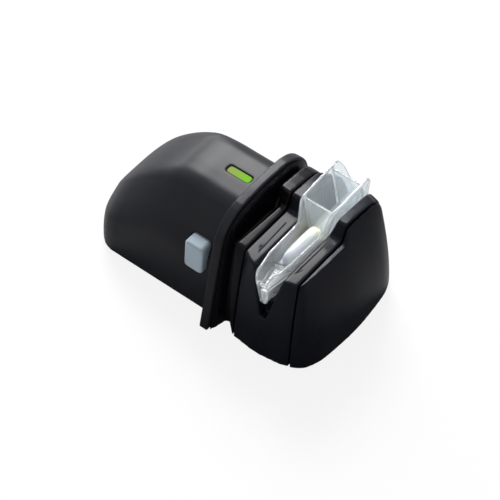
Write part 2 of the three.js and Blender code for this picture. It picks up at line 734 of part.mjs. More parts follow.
// Clear blade guide in the slot
const guidePast = { left: 4.1, right: 2.1 };
const guideLeft = -headStepHalf - guidePast.left;
const guideRight = headStepHalf + guidePast.right;
const guideSeat = 0.4;
const guideFoot = slotSaddleTop + guideSeat;
const guideFloorDrop = 7.5;
const guideFloorThick = 2;
const guideFloorHigh = headStepLevel - guideFloorDrop;
const guideFloorLow = guideFloorHigh - guideFloorThick;
const guideHigh = 25;
const guideTop = guideFloorHigh + guideHigh;
const guideWall = 2.1;
const guideInnerEdge = 0.4;
const guideDatumRise = 3;
const guideDatum = guideFloorHigh + guideDatumRise;
const guideHalf = 6;
const guideEndHalf = 3.9;
const guideTaperLong = { left: 14.3, right: 7.3 };
const guideTaperStart = guideLeft + guideTaperLong.left;
const guideRightTaper = guideRight - guideTaperLong.right;
const guideRightHalf = 5.2;
const guideSlope = 0.193;
const guideFootEdge = 1.1;
const guideFootHalfLeast = 2.65;
// Side view of the guide: shares of its length and of its height above the trough's floor
const guideSideShares = [[0, 0.128], [0.0052, 0.196], [0.0222, 0.276], [0.0483, 0.336],
  [0.0822, 0.364], [0.2781, 0.372], [0.453, 0.388], [0.4687, 0.428], [0.5183, 0.788],
  [0.5313, 0.84], [0.5535, 0.876], [0.6436, 0.9], [0.7742, 0.916], [0.8838, 0.928],
  [0.9099, 0.904], [0.9282, 0.84], [0.9569, 0.656], [0.9856, 0.304], [1, 0.096]];
const webGap = 0.4;
const webThick = 1.9;
const webToEnd = 12.1;
const webDrop = 2.8;
const webTop = guideTop - webDrop;
const bladeGap = 1.7;
const wheelRadius = 14;
const wheelSweep = 15;
const wheelSweepHalf = 2;
const hubSweep = 7;

// Half width of the guide's outside at station x, at the level of the datum.
function guideHalfAt(x) {
  if (x < guideTaperStart) {
    return mix(guideHalf, guideEndHalf, (x - guideTaperStart) / (guideLeft - guideTaperStart));
  }
  if (x > guideRightTaper) {
    return mix(guideHalf, guideRightHalf, (x - guideRightTaper) / (guideRight - guideRightTaper));
  }
  return guideHalf;
}

// Section of the guide at station x between two levels, smaller by a distance.
function guideSection(x, low, high, by, edge) {
  const half = guideHalfAt(x) - by;
  const foot = Math.max(guideFootHalfLeast - by, half - guideSlope * (guideDatum - low));
  const head = half + guideSlope * (high - guideDatum);
  const slope = (head - foot) / (high - low);
  return [[slotCentre - foot + edge, low], [slotCentre + foot - edge, low],
    [slotCentre + foot + slope * edge, low + edge], [slotCentre + head, high],
    [slotCentre - head, high], [slotCentre - foot - slope * edge, low + edge]];
}

function guideTrough(stations, low, high, by, edge) {
  const outlines = stations.map((x) => guideSection(x, low, high, by, edge));
  return loft(outlines, (y, z, ring) => new THREE.Vector3(stations[ring], y, z));
}

// What the wheel and the nuts beside it sweep, with room to spare.
const wheelSweepProfile = [[0, -chamberHalf], [hubSweep, -chamberHalf],
  [wheelSweep, -wheelSweepHalf], [wheelSweep, wheelSweepHalf], [hubSweep, chamberHalf],
  [0, chamberHalf]];

function makeGuide() {
  const bends = [guideTaperStart, guideRightTaper];
  const outside = [guideLeft, ...bends, guideRight];
  const inside = [guideLeft + guideWall, ...bends, guideRight - guideWall];
  const line = guideSideShares.map(([x, z]) => [mix(guideLeft, guideRight, x),
    mix(guideFloorHigh, guideTop, z)]);
  const side = [[guideLeft, guideFoot - cutPast], ...line, [guideRight, guideFoot - cutPast]];
  let body = guideTrough(outside, guideFoot, guideTop, 0, guideFootEdge);
  const hollow = (low, high) => guideTrough(inside, low, high, guideWall, guideInnerEdge);
  body = body.subtract(hollow(guideFloorHigh, guideTop + cutPast));
  body = body.subtract(hollow(guideFoot - cutPast, guideFloorLow));
  const coverEnd = wheelAxisX + coverHalfLength + coverTab.reach;
  for (const from of [coverEnd + webGap, guideRight - webToEnd]) {
    const half = (z) => guideHalf + guideSlope * (z - guideDatum) - guideWall - bladeGap;
    const web = [[slotCentre - half(guideFloorHigh), guideFloorLow],
      [slotCentre + half(guideFloorHigh), guideFloorLow],
      [slotCentre + half(webTop), webTop], [slotCentre - half(webTop), webTop]];
    body = body.add(prismX(web, from, from + webThick));
  }
  body = body.intersect(prismY(side, slotCentre - guideTop, slotCentre + guideTop));
  const middle = [wheelAxisX, slotCentre, driveHeight];
  const sweep = turned(wheelSweepProfile, "y", middle, roundSides.large);
  return body.subtract(sweep);
}

// Cream cover over the rim of the wheel
const coverHalfLength = 12.4;
const coverHalf = 2.55;
const coverHigh = 6.5;
const coverWall = 0.85;
const coverFoot = guideFloorHigh + partGap;
const coverTop = coverFoot + coverHigh;
const coverSquare = 2.6;
const coverShares = [-0.985, -0.92, -0.8, -0.6, -0.35, 0, 0.35, 0.6, 0.8, 0.92, 0.985];
const coverFallPower = 0.7;
const coverRoundPower = 0.8;
const coverSteps = 6;
const coverTab = { reach: 0.6, lap: 1.4, half: 2.5, thick: 1.2 };

function coverBody(by, foot) {
  const length = coverHalfLength - by;
  const outlines = coverShares.map((share) => {
    const left = (1 - Math.abs(share) ** coverSquare) ** (1 / coverSquare);
    const half = (coverHalf - by) * left;
    const high = mix(coverFoot, coverTop - by, left ** coverFallPower);
    const points = [[half, foot]];
    for (let i = 0; i <= coverSteps; i++) {
      const angle = (i / coverSteps) * Math.PI;
      const rise = Math.max(0, Math.sin(angle)) ** coverRoundPower;
      points.push([half * Math.cos(angle), mix((coverFoot + high) / 2, high, rise)]);
    }
    return [...points, [-half, foot]];
  });
  return loft(outlines, (y, z, ring) =>
    new THREE.Vector3(wheelAxisX + length * coverShares[ring], slotCentre + y, z));
}

function makeCover() {
  let body = coverBody(0, coverFoot);
  for (const side of bothSides) {
    const ends = [coverHalfLength - coverTab.lap, coverHalfLength + coverTab.reach];
    const reach = ends.map((d) => wheelAxisX + d * side).sort((a, b) => a - b);
    body = body.add(box(reach, [slotCentre - coverTab.half, slotCentre + coverTab.half],
      [coverFoot, coverFoot + coverTab.thick]));
  }
  return body.subtract(coverBody(coverWall, coverFoot - cutPast));
}

// Grinding wheel and what holds it on the shaft
const wheelRim = 0.7;
const wheelNeck = 1.1;
const wheelNeckRadius = 10;
const wheelHubRadius = 5.5;
const wheelHubHalf = 3.5;
const wheelMiddle = [wheelAxisX, slotCentre, driveHeight];
const onShaft = shaftRadius + runningGap;
const hubThick = 2.3;
const nutThick = 1.6;
const nutRadius = 4.6;
const nutCorners = 6;
const shaftInset = 0.4;
const shaftPast = 0.8;

const wheelProfile = [[onShaft, -wheelHubHalf], [wheelHubRadius, -wheelHubHalf],
  [wheelNeckRadius, -wheelNeck], [wheelRadius, -wheelRim], [wheelRadius, wheelRim],
  [wheelNeckRadius, wheelNeck], [wheelHubRadius, wheelHubHalf], [onShaft, wheelHubHalf],
  [onShaft, -wheelHubHalf]];

function makeHub() {
  const from = wheelHubHalf + partGap;
  return tube(wheelHubRadius, onShaft, from, from + hubThick, "y", wheelMiddle);
}

// Hexagonal nut with a round bore.
function makeNut() {
  const corners = Array.from({ length: nutCorners }, (_, i) => {
    const angle = (2 * Math.PI * i) / nutCorners;
    return [wheelAxisX + nutRadius * Math.cos(angle), driveHeight + nutRadius * Math.sin(angle)];
  });
  const to = slotCentre - wheelHubHalf - partGap;
  const bore = rod(onShaft, to - nutThick - cutPast, to + cutPast, "y", wheelAxis);
  return prismY(corners, to - nutThick, to).subtract(bore);
}

// A plain bush with a flange at its far end.
function bush([from, to]) {
  const profile = [[bearingBore, from], [bearingOuter, from], [bearingOuter, to - bearingFlangeThick],
    [bearingFlange, to - bearingFlangeThick], [bearingFlange, to], [bearingBore, to],
    [bearingBore, from]];
  return turned(profile, "y", wheelAxis);
}

// Spur gears with involute flanks
const toothBacklash = 0.04;
const addendumShare = 1;
const dedendumShare = 1.2;
const pressureDegrees = 20;
const pressureAngle = (pressureDegrees * Math.PI) / 180;
const flankSteps = 2;

// A gear's outline round a centre in x and z; phase turns it by a share of one tooth.
function gearOutline(teeth, [centreX, centreZ], phase) {
  const pitch = (gearModule * teeth) / 2;
  const tip = pitch + gearModule * addendumShare;
  const root = pitch - gearModule * dedendumShare;
  const base = pitch * Math.cos(pressureAngle);
  const involute = (radius) => {
    const angle = Math.acos(Math.min(1, base / radius));
    return Math.tan(angle) - angle;
  };
  const halfTooth = Math.PI / (2 * teeth) - toothBacklash / (2 * pitch);
  const halfAt = (radius) => halfTooth + involute(pitch) - involute(Math.max(base, radius));
  const foot = Math.max(base, root);
  const radii = Array.from({ length: flankSteps + 1 }, (_, i) => mix(foot, tip, i / flankSteps));
  const points = [];
  for (let tooth = 0; tooth < teeth; tooth++) {
    const middle = (2 * Math.PI * (tooth + phase)) / teeth;
    const rise = [[root, halfAt(foot)], ...radii.map((r) => [r, halfAt(r)])];
    const flank = foot > root ? rise : rise.slice(1);
    for (const [r, half] of flank) points.push([r, middle - half]);
    for (const [r, half] of [...flank].reverse()) points.push([r, middle + half]);
  }
  return points.map(([r, angle]) => [centreX + r * Math.cos(angle), centreZ + r * Math.sin(angle)]);
}

const gearStandOff = 2;
const gearThick = 4;
const gearFrom = rearBearing[1] + gearStandOff;
const gearY = [gearFrom, gearFrom + gearThick];
const gearHubRadius = 4;
const gearHubFrom = rearBearing[1] + partGap;
const gearHole = 1.5;
const gearHoleCircle = 4.9;
const gearHoles = 5;
const pinionPast = 0.4;
const pinionY = [gearY[0] - pinionPast, gearY[1] + pinionPast];
const shaftEnds = [frontBearing[0] + shaftInset, gearY[1] + shaftPast];
const motorShaftRadius = 1;
const onMotor = motorShaftRadius + runningGap;

function makeGear() {
  let body = prismY(gearOutline(gearTeeth, [wheelAxisX, driveHeight], 0), ...gearY);
  body = body.add(rod(gearHubRadius, gearHubFrom, gearY[1], "y", wheelAxis));
  for (let i = 0; i < gearHoles; i++) {
    const angle = (2 * Math.PI * (i + 1 / 2)) / gearHoles;
    const centre = [wheelAxisX + gearHoleCircle * Math.cos(angle), 0,
      driveHeight + gearHoleCircle * Math.sin(angle)];
    const hole = rod(gearHole / 2, gearY[0] - cutPast, gearY[1] + cutPast, "y", centre,
      roundSides.tiny);
    body = body.subtract(hole);
  }
  return body.subtract(rod(onShaft, gearHubFrom - cutPast, gearY[1] + cutPast, "y", wheelAxis));
}

// The pinion has a gap where the gear has a tooth, on the line between their axes.
function makePinion() {
  const body = prismY(gearOutline(pinionTeeth, [motorAxisX, driveHeight], 1 / 2), ...pinionY);
  const bore = rod(onMotor, pinionY[0] - cutPast, pinionY[1] + cutPast, "y", motorAxis);
  return body.subtract(bore);
}

// Motor: can with two flats, end cap, rotor and shaft
const bracketStandOff = 2;
const bracketThick = 2.5;
const bracketFrom = gearY[1] + bracketStandOff;
const bracketY = [bracketFrom, bracketFrom + bracketThick];
const canLong = 30.7;
const canFrom = bracketY[1] + partGap;
const canY = [canFrom, canFrom + canLong];
const canRadius = 12.2;
const canFlat = 10;
const canWall = 1.1;
const canBoss = 3;
const canBossLong = 1.5;
const canBossFrom = canY[0] - canBossLong;
const capThick = 3;
const capEnd = canY[1] + capThick;
const capCollar = 4;
const capCollarLong = 1.2;
const capCollarEnd = capEnd + capCollarLong;
const rotorInset = 3.7;
const rotorLong = 22.5;
const rotorFrom = canY[0] + rotorInset;
const rotorY = [rotorFrom, rotorFrom + rotorLong];
const rotorRadius = 8.5;
const rotorSlots = 3;
const fullTurn = 360;
const rotorSlot = 1.2;
const commutatorRadius = 3;
const commutatorLong = 3.5;
const commutatorEnd = rotorY[1] + commutatorLong;
const motorShaftPast = 0.5;
const motorShaftRear = 1.2;
const motorShaftEnds = [pinionY[0] - motorShaftPast, capCollarEnd + motorShaftRear];
const motorScrewOffset = 7.6;
const motorScrewHead = 1.9;
const motorScrewShank = 0.9;
const motorScrewHeadThick = 1.2;
const motorScrewSeat = bracketY[0] - partGap;
const motorScrewHeadY = [motorScrewSeat - motorScrewHeadThick, motorScrewSeat];
const motorScrewGrip = 0.8;
const motorScrewTip = canY[0] + motorScrewGrip;

const flatCan = (radius, flat, from, to) =>
  rod(radius, from, to, "y", motorAxis, roundSides.large).intersect(
    box([motorAxisX - radius, motorAxisX + radius], [from - cutPast, to + cutPast],
      [driveHeight - flat, driveHeight + flat]));

function makeCan() {
  let body = flatCan(canRadius, canFlat, ...canY);
  body = body.add(rod(canBoss, canBossFrom, canY[0] + canWall, "y", motorAxis));
  const inner = [canY[0] + canWall, canY[1] + cutPast];
  body = body.subtract(flatCan(canRadius - canWall, canFlat - canWall, ...inner));
  body = body.subtract(rod(onMotor, canBossFrom - cutPast, canY[1], "y", motorAxis));
  for (const side of bothSides) {
    const centre = [motorAxisX, 0, driveHeight + motorScrewOffset * side];
    body = body.subtract(rod(motorScrewShank + partGap, canY[0] - cutPast, canY[0] + canWall + cutPast,
      "y", centre, roundSides.small));
  }
  return body;
}

function makeCap() {
  const from = canY[1] + partGap;
  let body = flatCan(canRadius, canFlat, from, capEnd);
  body = body.add(rod(capCollar, capEnd - cutPast, capCollarEnd, "y", motorAxis));
  return body.subtract(rod(onMotor, from - cutPast, capCollarEnd + cutPast, "y", motorAxis));
}

function makeRotor() {
  let body = rod(rotorRadius, ...rotorY, "y", motorAxis, roundSides.large);
  body = body.add(rod(commutatorRadius, rotorY[1] - cutPast, commutatorEnd, "y", motorAxis));
  for (let i = 0; i < rotorSlots; i++) {
    const slot = box([commutatorRadius + cutPast, rotorRadius + cutPast],
      [rotorY[0] - cutPast, rotorY[1] + cutPast], [-rotorSlot / 2, rotorSlot / 2]);
    body = body.subtract(slot.rotate([0, (i * fullTurn) / rotorSlots, 0]).translate(motorAxis));
  }
  const bore = rod(onMotor, rotorY[0] - cutPast, commutatorEnd + cutPast, "y", motorAxis);
  return body.subtract(bore);
}

function makeMotorScrew(side) {
  const centre = [motorAxisX, 0, driveHeight + motorScrewOffset * side];
  const profile = [[0, motorScrewHeadY[0]], [motorScrewHead, motorScrewHeadY[0]],
    [motorScrewHead, motorScrewHeadY[1]], [motorScrewShank, motorScrewHeadY[1]],
    [motorScrewShank, motorScrewTip], [0, motorScrewTip]];
  return turned(profile, "y", centre, roundSides.small);
}

// Switch behind the push button, fixed to the bracket's rear face
const plungerStandOff = 1.4;
const plungerTip = buttonInner + plungerStandOff;
const plungerInset = 2.9;
const plungerY = bracketY[1] + plungerInset;
const plungerZ = (buttonZ[0] + buttonZ[1]) / 2;
const plungerRadius = 1.2;
const plungerLong = 4.2;
const plungerEnd = plungerTip + plungerLong;
const plungerProud = 1.8;
const switchLong = 7.4;
const switchFrom = plungerTip + plungerProud;
const switchX = [switchFrom, switchFrom + switchLong];
const switchThick = 5.6;
const switchY = [bracketY[1] + partGap, bracketY[1] + partGap + switchThick];
const switchHalf = 4.4;
const switchZ = [plungerZ - switchHalf, plungerZ + switchHalf];
const switchBorder = 0.2;
const switchRound = 0.6;
const switchCornerSteps = 2;
const switchBoreRoom = 0.7;
const switchBoreEnd = plungerEnd + buttonTravel + switchBoreRoom;
const switchPin = 0.7;
const switchPinLength = 2;
const plungerAxis = [0, plungerY, plungerZ];

// Motor bracket: an upright plate on a foot that stands on the battery bay
const bayToDome = 4.1;
const bayHalf = dome.half - wall - bayToDome;
const baySlant = 4;
const baySlantShare = 0.7;
const bayFoot = plateTop + partGap;
const cellGap = 0.2;
const cellPitch = (bayHalf - thinWall - partGap + cellGap / 2) / 2;
const cellRadius = (cellPitch - cellGap) / 2;
const cellLow = 3.4;
const cellHeight = cellLow + cellRadius;
const cellHeadroom = 0.7;
const bayTop = cellHeight + cellRadius + cellHeadroom + thinWall;
const bracketRight = 14.7;
const bracketX = [switchX[0] - switchBorder, motorAxisX + bracketRight];
const bracketHigh = 14.5;
const bracketTop = driveHeight + bracketHigh;
const bracketSlant = 5;
const bracketShoulder = switchZ[1] + bracketThick;
const bracketFootLong = 12.5;
const bracketFootY = bracketY[0] + bracketFootLong;
const bracketFootThick = 2;
const gussetHigh = 8;
const bracketRib = 2;

function makeBracket() {
  const foot = bayTop + partGap;
  const [left, right] = bracketX;
  const face = [[left, foot], [right, foot], [right, bracketTop - bracketSlant],
    [right - bracketSlant, bracketTop], [switchX[1] + bracketSlant, bracketTop],
    [switchX[1], bracketTop - bracketSlant], [switchX[1], bracketShoulder],
    [left, bracketShoulder]];
  let body = prismY(face, ...bracketY);
  body = body.add(box(bracketX, [bracketY[0], bracketFootY], [foot, foot + bracketFootThick]));
  const rear = bracketY[1] - cutPast / 2;
  const gusset = [[rear, foot + cutPast], [bracketFootY, foot + cutPast],
    [bracketFootY, foot + bracketFootThick], [rear, foot + gussetHigh]];
  for (const x of [bracketX[0], bracketX[1] - bracketRib]) {
    body = body.add(prismX(gusset, x, x + bracketRib));
  }
  const through = [bracketY[0] - cutPast, bracketY[1] + cutPast];
  body = body.subtract(rod(canBoss + partGap, ...through, "y", motorAxis));
  body = body.subtract(rod(shaftRadius + cutPast, ...through, "y", wheelAxis));
  for (const side of bothSides) {
    const centre = [motorAxisX, 0, driveHeight + motorScrewOffset * side];
    body = body.subtract(rod(motorScrewShank + partGap, ...through, "y", centre, roundSides.small));
  }
  return body;
}

function makeSwitch() {
  const outline = roundedRectangle(...switchY, ...switchZ, switchRound, switchCornerSteps);
  let body = prismX(outline, ...switchX);
  for (const z of [switchZ[0] + 2 * switchPin, switchZ[1] - 2 * switchPin]) {
    const [y0, y1] = [switchY[1] - cutPast, switchY[1] + switchPinLength];
    body = body.add(box([switchX[1] - 2 * switchPin, switchX[1] - switchPin], [y0, y1],
      [z - switchPin / 2, z + switchPin / 2]));
  }
  const bore = rod(plungerRadius + slideGap, switchX[0] - cutPast, switchBoreEnd, "x",
    plungerAxis, roundSides.small);
  return body.subtract(bore);
}

const makePlunger = () =>
  rod(plungerRadius, plungerTip, plungerEnd, "x", plungerAxis, roundSides.small);

// Battery bay: a box over four cells that lie side by side, open below. Its length is what
// the cells, the two contact plates, the springs and the gaps between them need.
const cellNumbers = [0, 1, 2, 3];
const cellMiddle = (cellNumbers.length - 1) / 2;
const cellNubShare = 0.375;
const cellNub = cellNubShare * cellRadius;
const cellNubLength = 1;
const cellLength = 50.3;
const cellShoulder = 1;
const cellEdge = 0.5;
const contactThick = 0.5;
const contactHalf = cellRadius / 2;
const springRoom = 3.2;
const springBaseShare = 0.5833;
const springTipShare = 0.4167;
const springWire = 0.8;
const bayToGuard = 2.8;
const contactRoom = contactThick + partGap;
const cellRoom = cellLength + cellNubLength + springRoom;
const bayInnerLong = cellRoom + 2 * contactRoom + 3 * partGap;
const bayFrom = guard.thick + bayToGuard;
const bayInnerY = [bayFrom + thinWall, bayFrom + thinWall + bayInnerLong];
const bayY = [bayFrom, bayInnerY[1] + thinWall];

// Battery door and its finger grip
const doorInsets = { front: 3, rear: 5, side: 1.2 };
const doorY = [bayY[0] + doorInsets.front, bayY[1] - doorInsets.rear];
const doorHalf = bayHalf - doorInsets.side;
const doorThick = 2;
const doorTabHalf = 6;
const doorTabReach = 2.2;
const doorGrip = 1.1;
const doorGrips = 3;

const cellX = (number) => (number - cellMiddle) * cellPitch;

// The bay's section in x and z, with slanted upper edges, smaller by a distance.
function bayOutline(by, foot) {
  const [half, top] = [bayHalf - by, bayTop - by];
  const roof = half - baySlant * baySlantShare;
  return [[half, foot], [half, top - baySlant], [roof, top], [-roof, top],
    [-half, top - baySlant], [-half, foot]];
}

function makeBay() {
  const outer = prismY(bayOutline(0, bayFoot), ...bayY);
  const inner = prismY(bayOutline(thinWall, bayFoot - cutPast), ...bayInnerY);
  return outer.subtract(inner);
}

// Cells lie head to tail: the way a cell points, and the end of the bay with its spring.
const wayOf = (number) => (number % 2 ? -1 : 1);
const springEnd = (way) => (way > 0 ? bayInnerY[0] : bayInnerY[1]);

function makeCell(number) {
  const way = wayOf(number);
  const start = springEnd(way) + way * (contactRoom + springRoom + 2 * partGap);
  const body = [[0, 0], [cellRadius - cellEdge, 0], [cellRadius, cellEdge],
    [cellRadius, cellLength - cellShoulder], [cellRadius - cellShoulder, cellLength],
    [cellNub, cellLength], [cellNub, cellLength + cellNubLength],
    [0, cellLength + cellNubLength]];
  const profile = body.map(([r, s]) => [r, start + way * s]);
  return turned(way > 0 ? profile : profile.reverse(), "y", [cellX(number), 0, cellHeight]);
}

// A contact plate: a thin strip across all four cells, at one end of the bay.
function makeContact(way) {
  const edge = springEnd(way) + way * partGap;
  const range = [edge, edge + way * contactThick].sort((a, b) => a - b);
  const half = bayHalf - thinWall - partGap;
  return box([-half, half], range, [cellHeight - contactHalf, cellHeight + contactHalf]);
}

// A conical contact spring, kept as a plain hollow cone.
function makeSpring(number) {
  const way = wayOf(number);
  const base = springEnd(way) + way * (contactRoom + partGap);
  const long = springRoom - partGap;
  const wide = springBaseShare * cellRadius;
  const tip = springTipShare * cellRadius;
  const profile = [[wide - springWire, 0], [wide, 0], [tip, long], [tip - springWire, long],
    [wide - springWire, 0]];
  const placed = profile.map(([r, s]) => [r, base + way * s]);
  return turned(way > 0 ? placed : placed.reverse(), "y", [cellX(number), 0, cellHeight],
    roundSides.small);
}

function makeDoor() {
  const door = box([-doorHalf, doorHalf], doorY, [0, doorThick]);
  const tab = box([-doorTabHalf, doorTabHalf], [doorY[1] - cutPast, doorY[1] + doorTabReach],
    [doorThick / 2, doorThick]);
  let body = door.add(tab);
  for (let i = 0; i < doorGrips; i++) {
    const from = doorY[0] + (doorGrips + 2 * i) * doorGrip;
    const groove = box([-doorTabHalf, doorTabHalf], [from, from + doorGrip],
      [-cutPast, doorGrip / 2]);
    body = body.subtract(groove);
  }
  return body;
}

function makeBasePlate() {
  const front = guard.thick + partGap;
  let body = prismZ(domePlan(wall + plateGap, front), 0, plateTop);
  const grow = partGap;
  body = body.subtract(box([-doorHalf - grow, doorHalf + grow], [doorY[0] - grow, doorY[1] + grow],
    [-cutPast, plateTop + cutPast]));
  body = body.subtract(box([-doorTabHalf - grow, doorTabHalf + grow],
    [doorY[1] - cutPast, doorY[1] + doorTabReach + grow], [-cutPast, plateTop + cutPast]));
  return drilled(body, housingScrews, housingFeet);
}

const makeHeadBase = () =>
  drilled(headBaseBody(wall + partGap, 0, plateTop), headScrews, headFeet);

function makeScrew([x, y]) {
  const profile = [[0, screwHeadLow], [screwHead, screwHeadLow], [screwHead, screwHeadHigh],
    [screwShank, screwHeadHigh], [screwShank, screwTip - screwPointed], [0, screwTip]];
  return turned(profile, "z", [x, y, 0], roundSides.small);
}

function makeFoot([x, y]) {
  const profile = [[0, -footStand], [footRadius - footEdge, -footStand],
    [footRadius, footEdge - footStand], [footRadius, footTop], [0, footTop]];
  return turned(profile, "z", [x, y, 0]);
}

function makeBoard() {
  let body = box([-boardX, boardX], boardY, [boardTop - boardThick, boardTop]);
  for (const { x, y, halfX, halfY } of chipShares) {
    const middle = mix(boardY[0], boardY[1], y);
    body = body.add(box([(x - halfX) * boardX, (x + halfX) * boardX],
      [middle - halfY * boardLong, middle + halfY * boardLong],
      [boardTop - boardThick, boardTop + chipHigh]));
  }
  return body;
}

function makeLamp() {
  const foot = boardTop + partGap;
  const body = box([-lampHalf, lampHalf], [lampY - lampHalf, lampY + lampHalf],
    [foot, foot + lampHigh / 2]);
  const round = rod(lampHalf * lampRoundShare, foot + lampHigh / 4, foot + lampHigh, "z",
    [0, lampY, 0], roundSides.small);
  return body.add(round);
}

// The group

const sharpener = new THREE.Group();
sharpener.name = "knife_sharpener";

function addPiece(name, solid, finish) {
  const { numProp, vertProperties, triVerts } = solid.getMesh();
  const count = vertProperties.length / numProp;
  const at = new Float32Array(count * 3);
  for (let i = 0; i < count; i++) {
    at.set(vertProperties.subarray(i * numProp, i * numProp + 3), i * 3);
  }
  const welded = new THREE.BufferGeometry();
  welded.setAttribute("position", new THREE.BufferAttribute(at, 3));
  welded.setIndex(new THREE.BufferAttribute(new Uint32Array(triVerts), 1));
  const geometry = welded.toNonIndexed();
  geometry.computeVertexNormals();
  const [color, roughness, metalness] = finishes[finish];
  const mesh = new THREE.Mesh(geometry, new THREE.MeshStandardMaterial({ color, roughness, metalness }));
  mesh.name = name;
  sharpener.add(mesh);
}

addPiece("rear_housing", makeRearHousing(), "dome");
addPiece("neck_cover", makeNeck(), "gloss");
addPiece("head_body", makeHeadBody(), "gloss");
addPiece("front_cap", makeFrontCap(), "gloss");
addPiece("knife_guide", makeGuide(), "clear");
addPiece("wheel_cover", makeCover(), "cream");
addPiece("power_button", makeButton(), "button");
addPiece("indicator_lens", makeLens(), "lens");
addPiece("grinding_wheel", turned(wheelProfile, "y", wheelMiddle), "stone");
addPiece("wheel_hub", makeHub(), "steel");
addPiece("wheel_nut", makeNut(), "steel");
addPiece("wheel_shaft", rod(shaftRadius, ...shaftEnds, "y", wheelAxis), "steel");
addPiece("front_bearing", bush(frontBearing), "bronze");
addPiece("rear_bearing", bush(rearBearing), "bronze");
addPiece("drive_gear", makeGear(), "nylon");
addPiece("motor_pinion", makePinion(), "bronze");
addPiece("motor_can", makeCan(), "can");
addPiece("motor_end_cap", makeCap(), "inner");
addPiece("motor_rotor", makeRotor(), "bronze");
addPiece("motor_shaft", rod(motorShaftRadius, ...motorShaftEnds, "y", motorAxis), "steel");
addPiece("motor_bracket", makeBracket(), "steel");
addPiece("motor_screw_1", makeMotorScrew(-1), "steel");
addPiece("motor_screw_2", makeMotorScrew(1), "steel");
addPiece("switch_body", makeSwitch(), "inner");
addPiece("switch_plunger", makePlunger(), "nylon");
addPiece("battery_bay", makeBay(), "inner");
addPiece("battery_door", makeDoor(), "inner");
addPiece("contact_front", makeContact(1), "steel");
addPiece("contact_rear", makeContact(-1), "steel");
for (const number of cellNumbers) {
  addPiece("battery_cell_" + (number + 1), makeCell(number), "cell");
  addPiece("contact_spring_" + (number + 1), makeSpring(number), "steel");
}
addPiece("base_plate", makeBasePlate(), "inner");
addPiece("head_base", makeHeadBase(), "inner");
addPiece("circuit_board", makeBoard(), "board");
addPiece("indicator_led", makeLamp(), "lens");
[...headFeet, ...housingFeet].forEach((place, i) =>
  addPiece("rubber_foot_" + (i + 1), makeFoot(place), "rubber"));
[...headScrews, ...housingScrews].forEach((place, i) =>
  addPiece("base_screw_" + (i + 1), makeScrew(place), "steel"));

sharpener.position.set(0, (headBaseDepth - headRear - dome.rear) / 2, footStand);

export default sharpener;
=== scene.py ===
"""Blender scene of a battery-run electric knife sharpener.

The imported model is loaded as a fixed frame. Each visible moulding is a refined piece that stands
for its node. The shells, the button and the window are the nodes' own surfaces with their edges
rounded the way a mould rounds them. The clear guide and its cover are built here. The parts
inside keep their nodes and get their finishes. Lengths are in metres.
"""

import logging
import math
from dataclasses import dataclass, field
from enum import Enum
from functools import cache
from typing import Callable, Iterable, Sequence

import bmesh
import bpy
from mathutils import Matrix, Vector


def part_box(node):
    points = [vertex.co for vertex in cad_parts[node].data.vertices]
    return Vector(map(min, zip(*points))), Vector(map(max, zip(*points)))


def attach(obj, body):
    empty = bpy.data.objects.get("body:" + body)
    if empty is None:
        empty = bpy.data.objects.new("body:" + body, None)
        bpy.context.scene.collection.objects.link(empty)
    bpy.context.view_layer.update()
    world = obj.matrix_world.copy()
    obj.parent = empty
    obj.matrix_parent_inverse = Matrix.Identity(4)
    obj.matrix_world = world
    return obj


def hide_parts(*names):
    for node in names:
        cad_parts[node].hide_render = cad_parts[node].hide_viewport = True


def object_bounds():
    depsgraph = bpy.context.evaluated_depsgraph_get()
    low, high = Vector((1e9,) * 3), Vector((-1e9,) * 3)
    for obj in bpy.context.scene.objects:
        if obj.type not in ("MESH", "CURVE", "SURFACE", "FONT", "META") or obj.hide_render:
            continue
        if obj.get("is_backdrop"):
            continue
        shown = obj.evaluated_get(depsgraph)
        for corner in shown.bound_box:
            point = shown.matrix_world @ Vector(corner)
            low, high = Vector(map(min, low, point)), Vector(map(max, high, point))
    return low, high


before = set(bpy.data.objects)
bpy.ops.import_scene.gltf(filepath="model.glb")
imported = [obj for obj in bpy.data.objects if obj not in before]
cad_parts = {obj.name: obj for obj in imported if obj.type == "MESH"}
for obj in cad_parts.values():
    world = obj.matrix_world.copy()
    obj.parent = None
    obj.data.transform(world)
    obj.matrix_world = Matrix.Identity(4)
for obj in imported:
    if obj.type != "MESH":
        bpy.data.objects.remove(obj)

LOG = logging.getLogger("knife_sharpener")
MM = 0.001
WELD = 0.02 * MM
SHARP_EDGE = math.radians(34)
Colour = tuple[float, float, float]


def linear(red: int, green: int, blue: int) -> Colour:
    """Gives the linear colour of three 8-bit display values.

    Args:
        red: the red value, from 0 to 255.
        green: the green value.
        blue: the blue value.

    Returns:
        The linear red, green and blue.
    """

    def channel(value: int) -> float:
        """Gives one channel's linear value."""
        share = value / 255
        return share / 12.92 if share <= 0.04045 else ((share + 0.055) / 1.055) ** 2.4

    return channel(red), channel(green), channel(blue)


class Body(Enum):
    """The bodies of the frame that the refined pieces ride on."""

    HOUSING = "housing"
    GUIDE = "guide"
    BUTTON = "button"


class Grain(Enum):
    """How a mould or a machine leaves a surface: pattern scale and height of its relief."""

    POLISHED = (900.0, 0.012)
    SATIN = (1500.0, 0.012)
    SPARKED = (2100.0, 0.03)
    CAST = (700.0, 0.12)


# ---------------------------------------------------------------- node trees


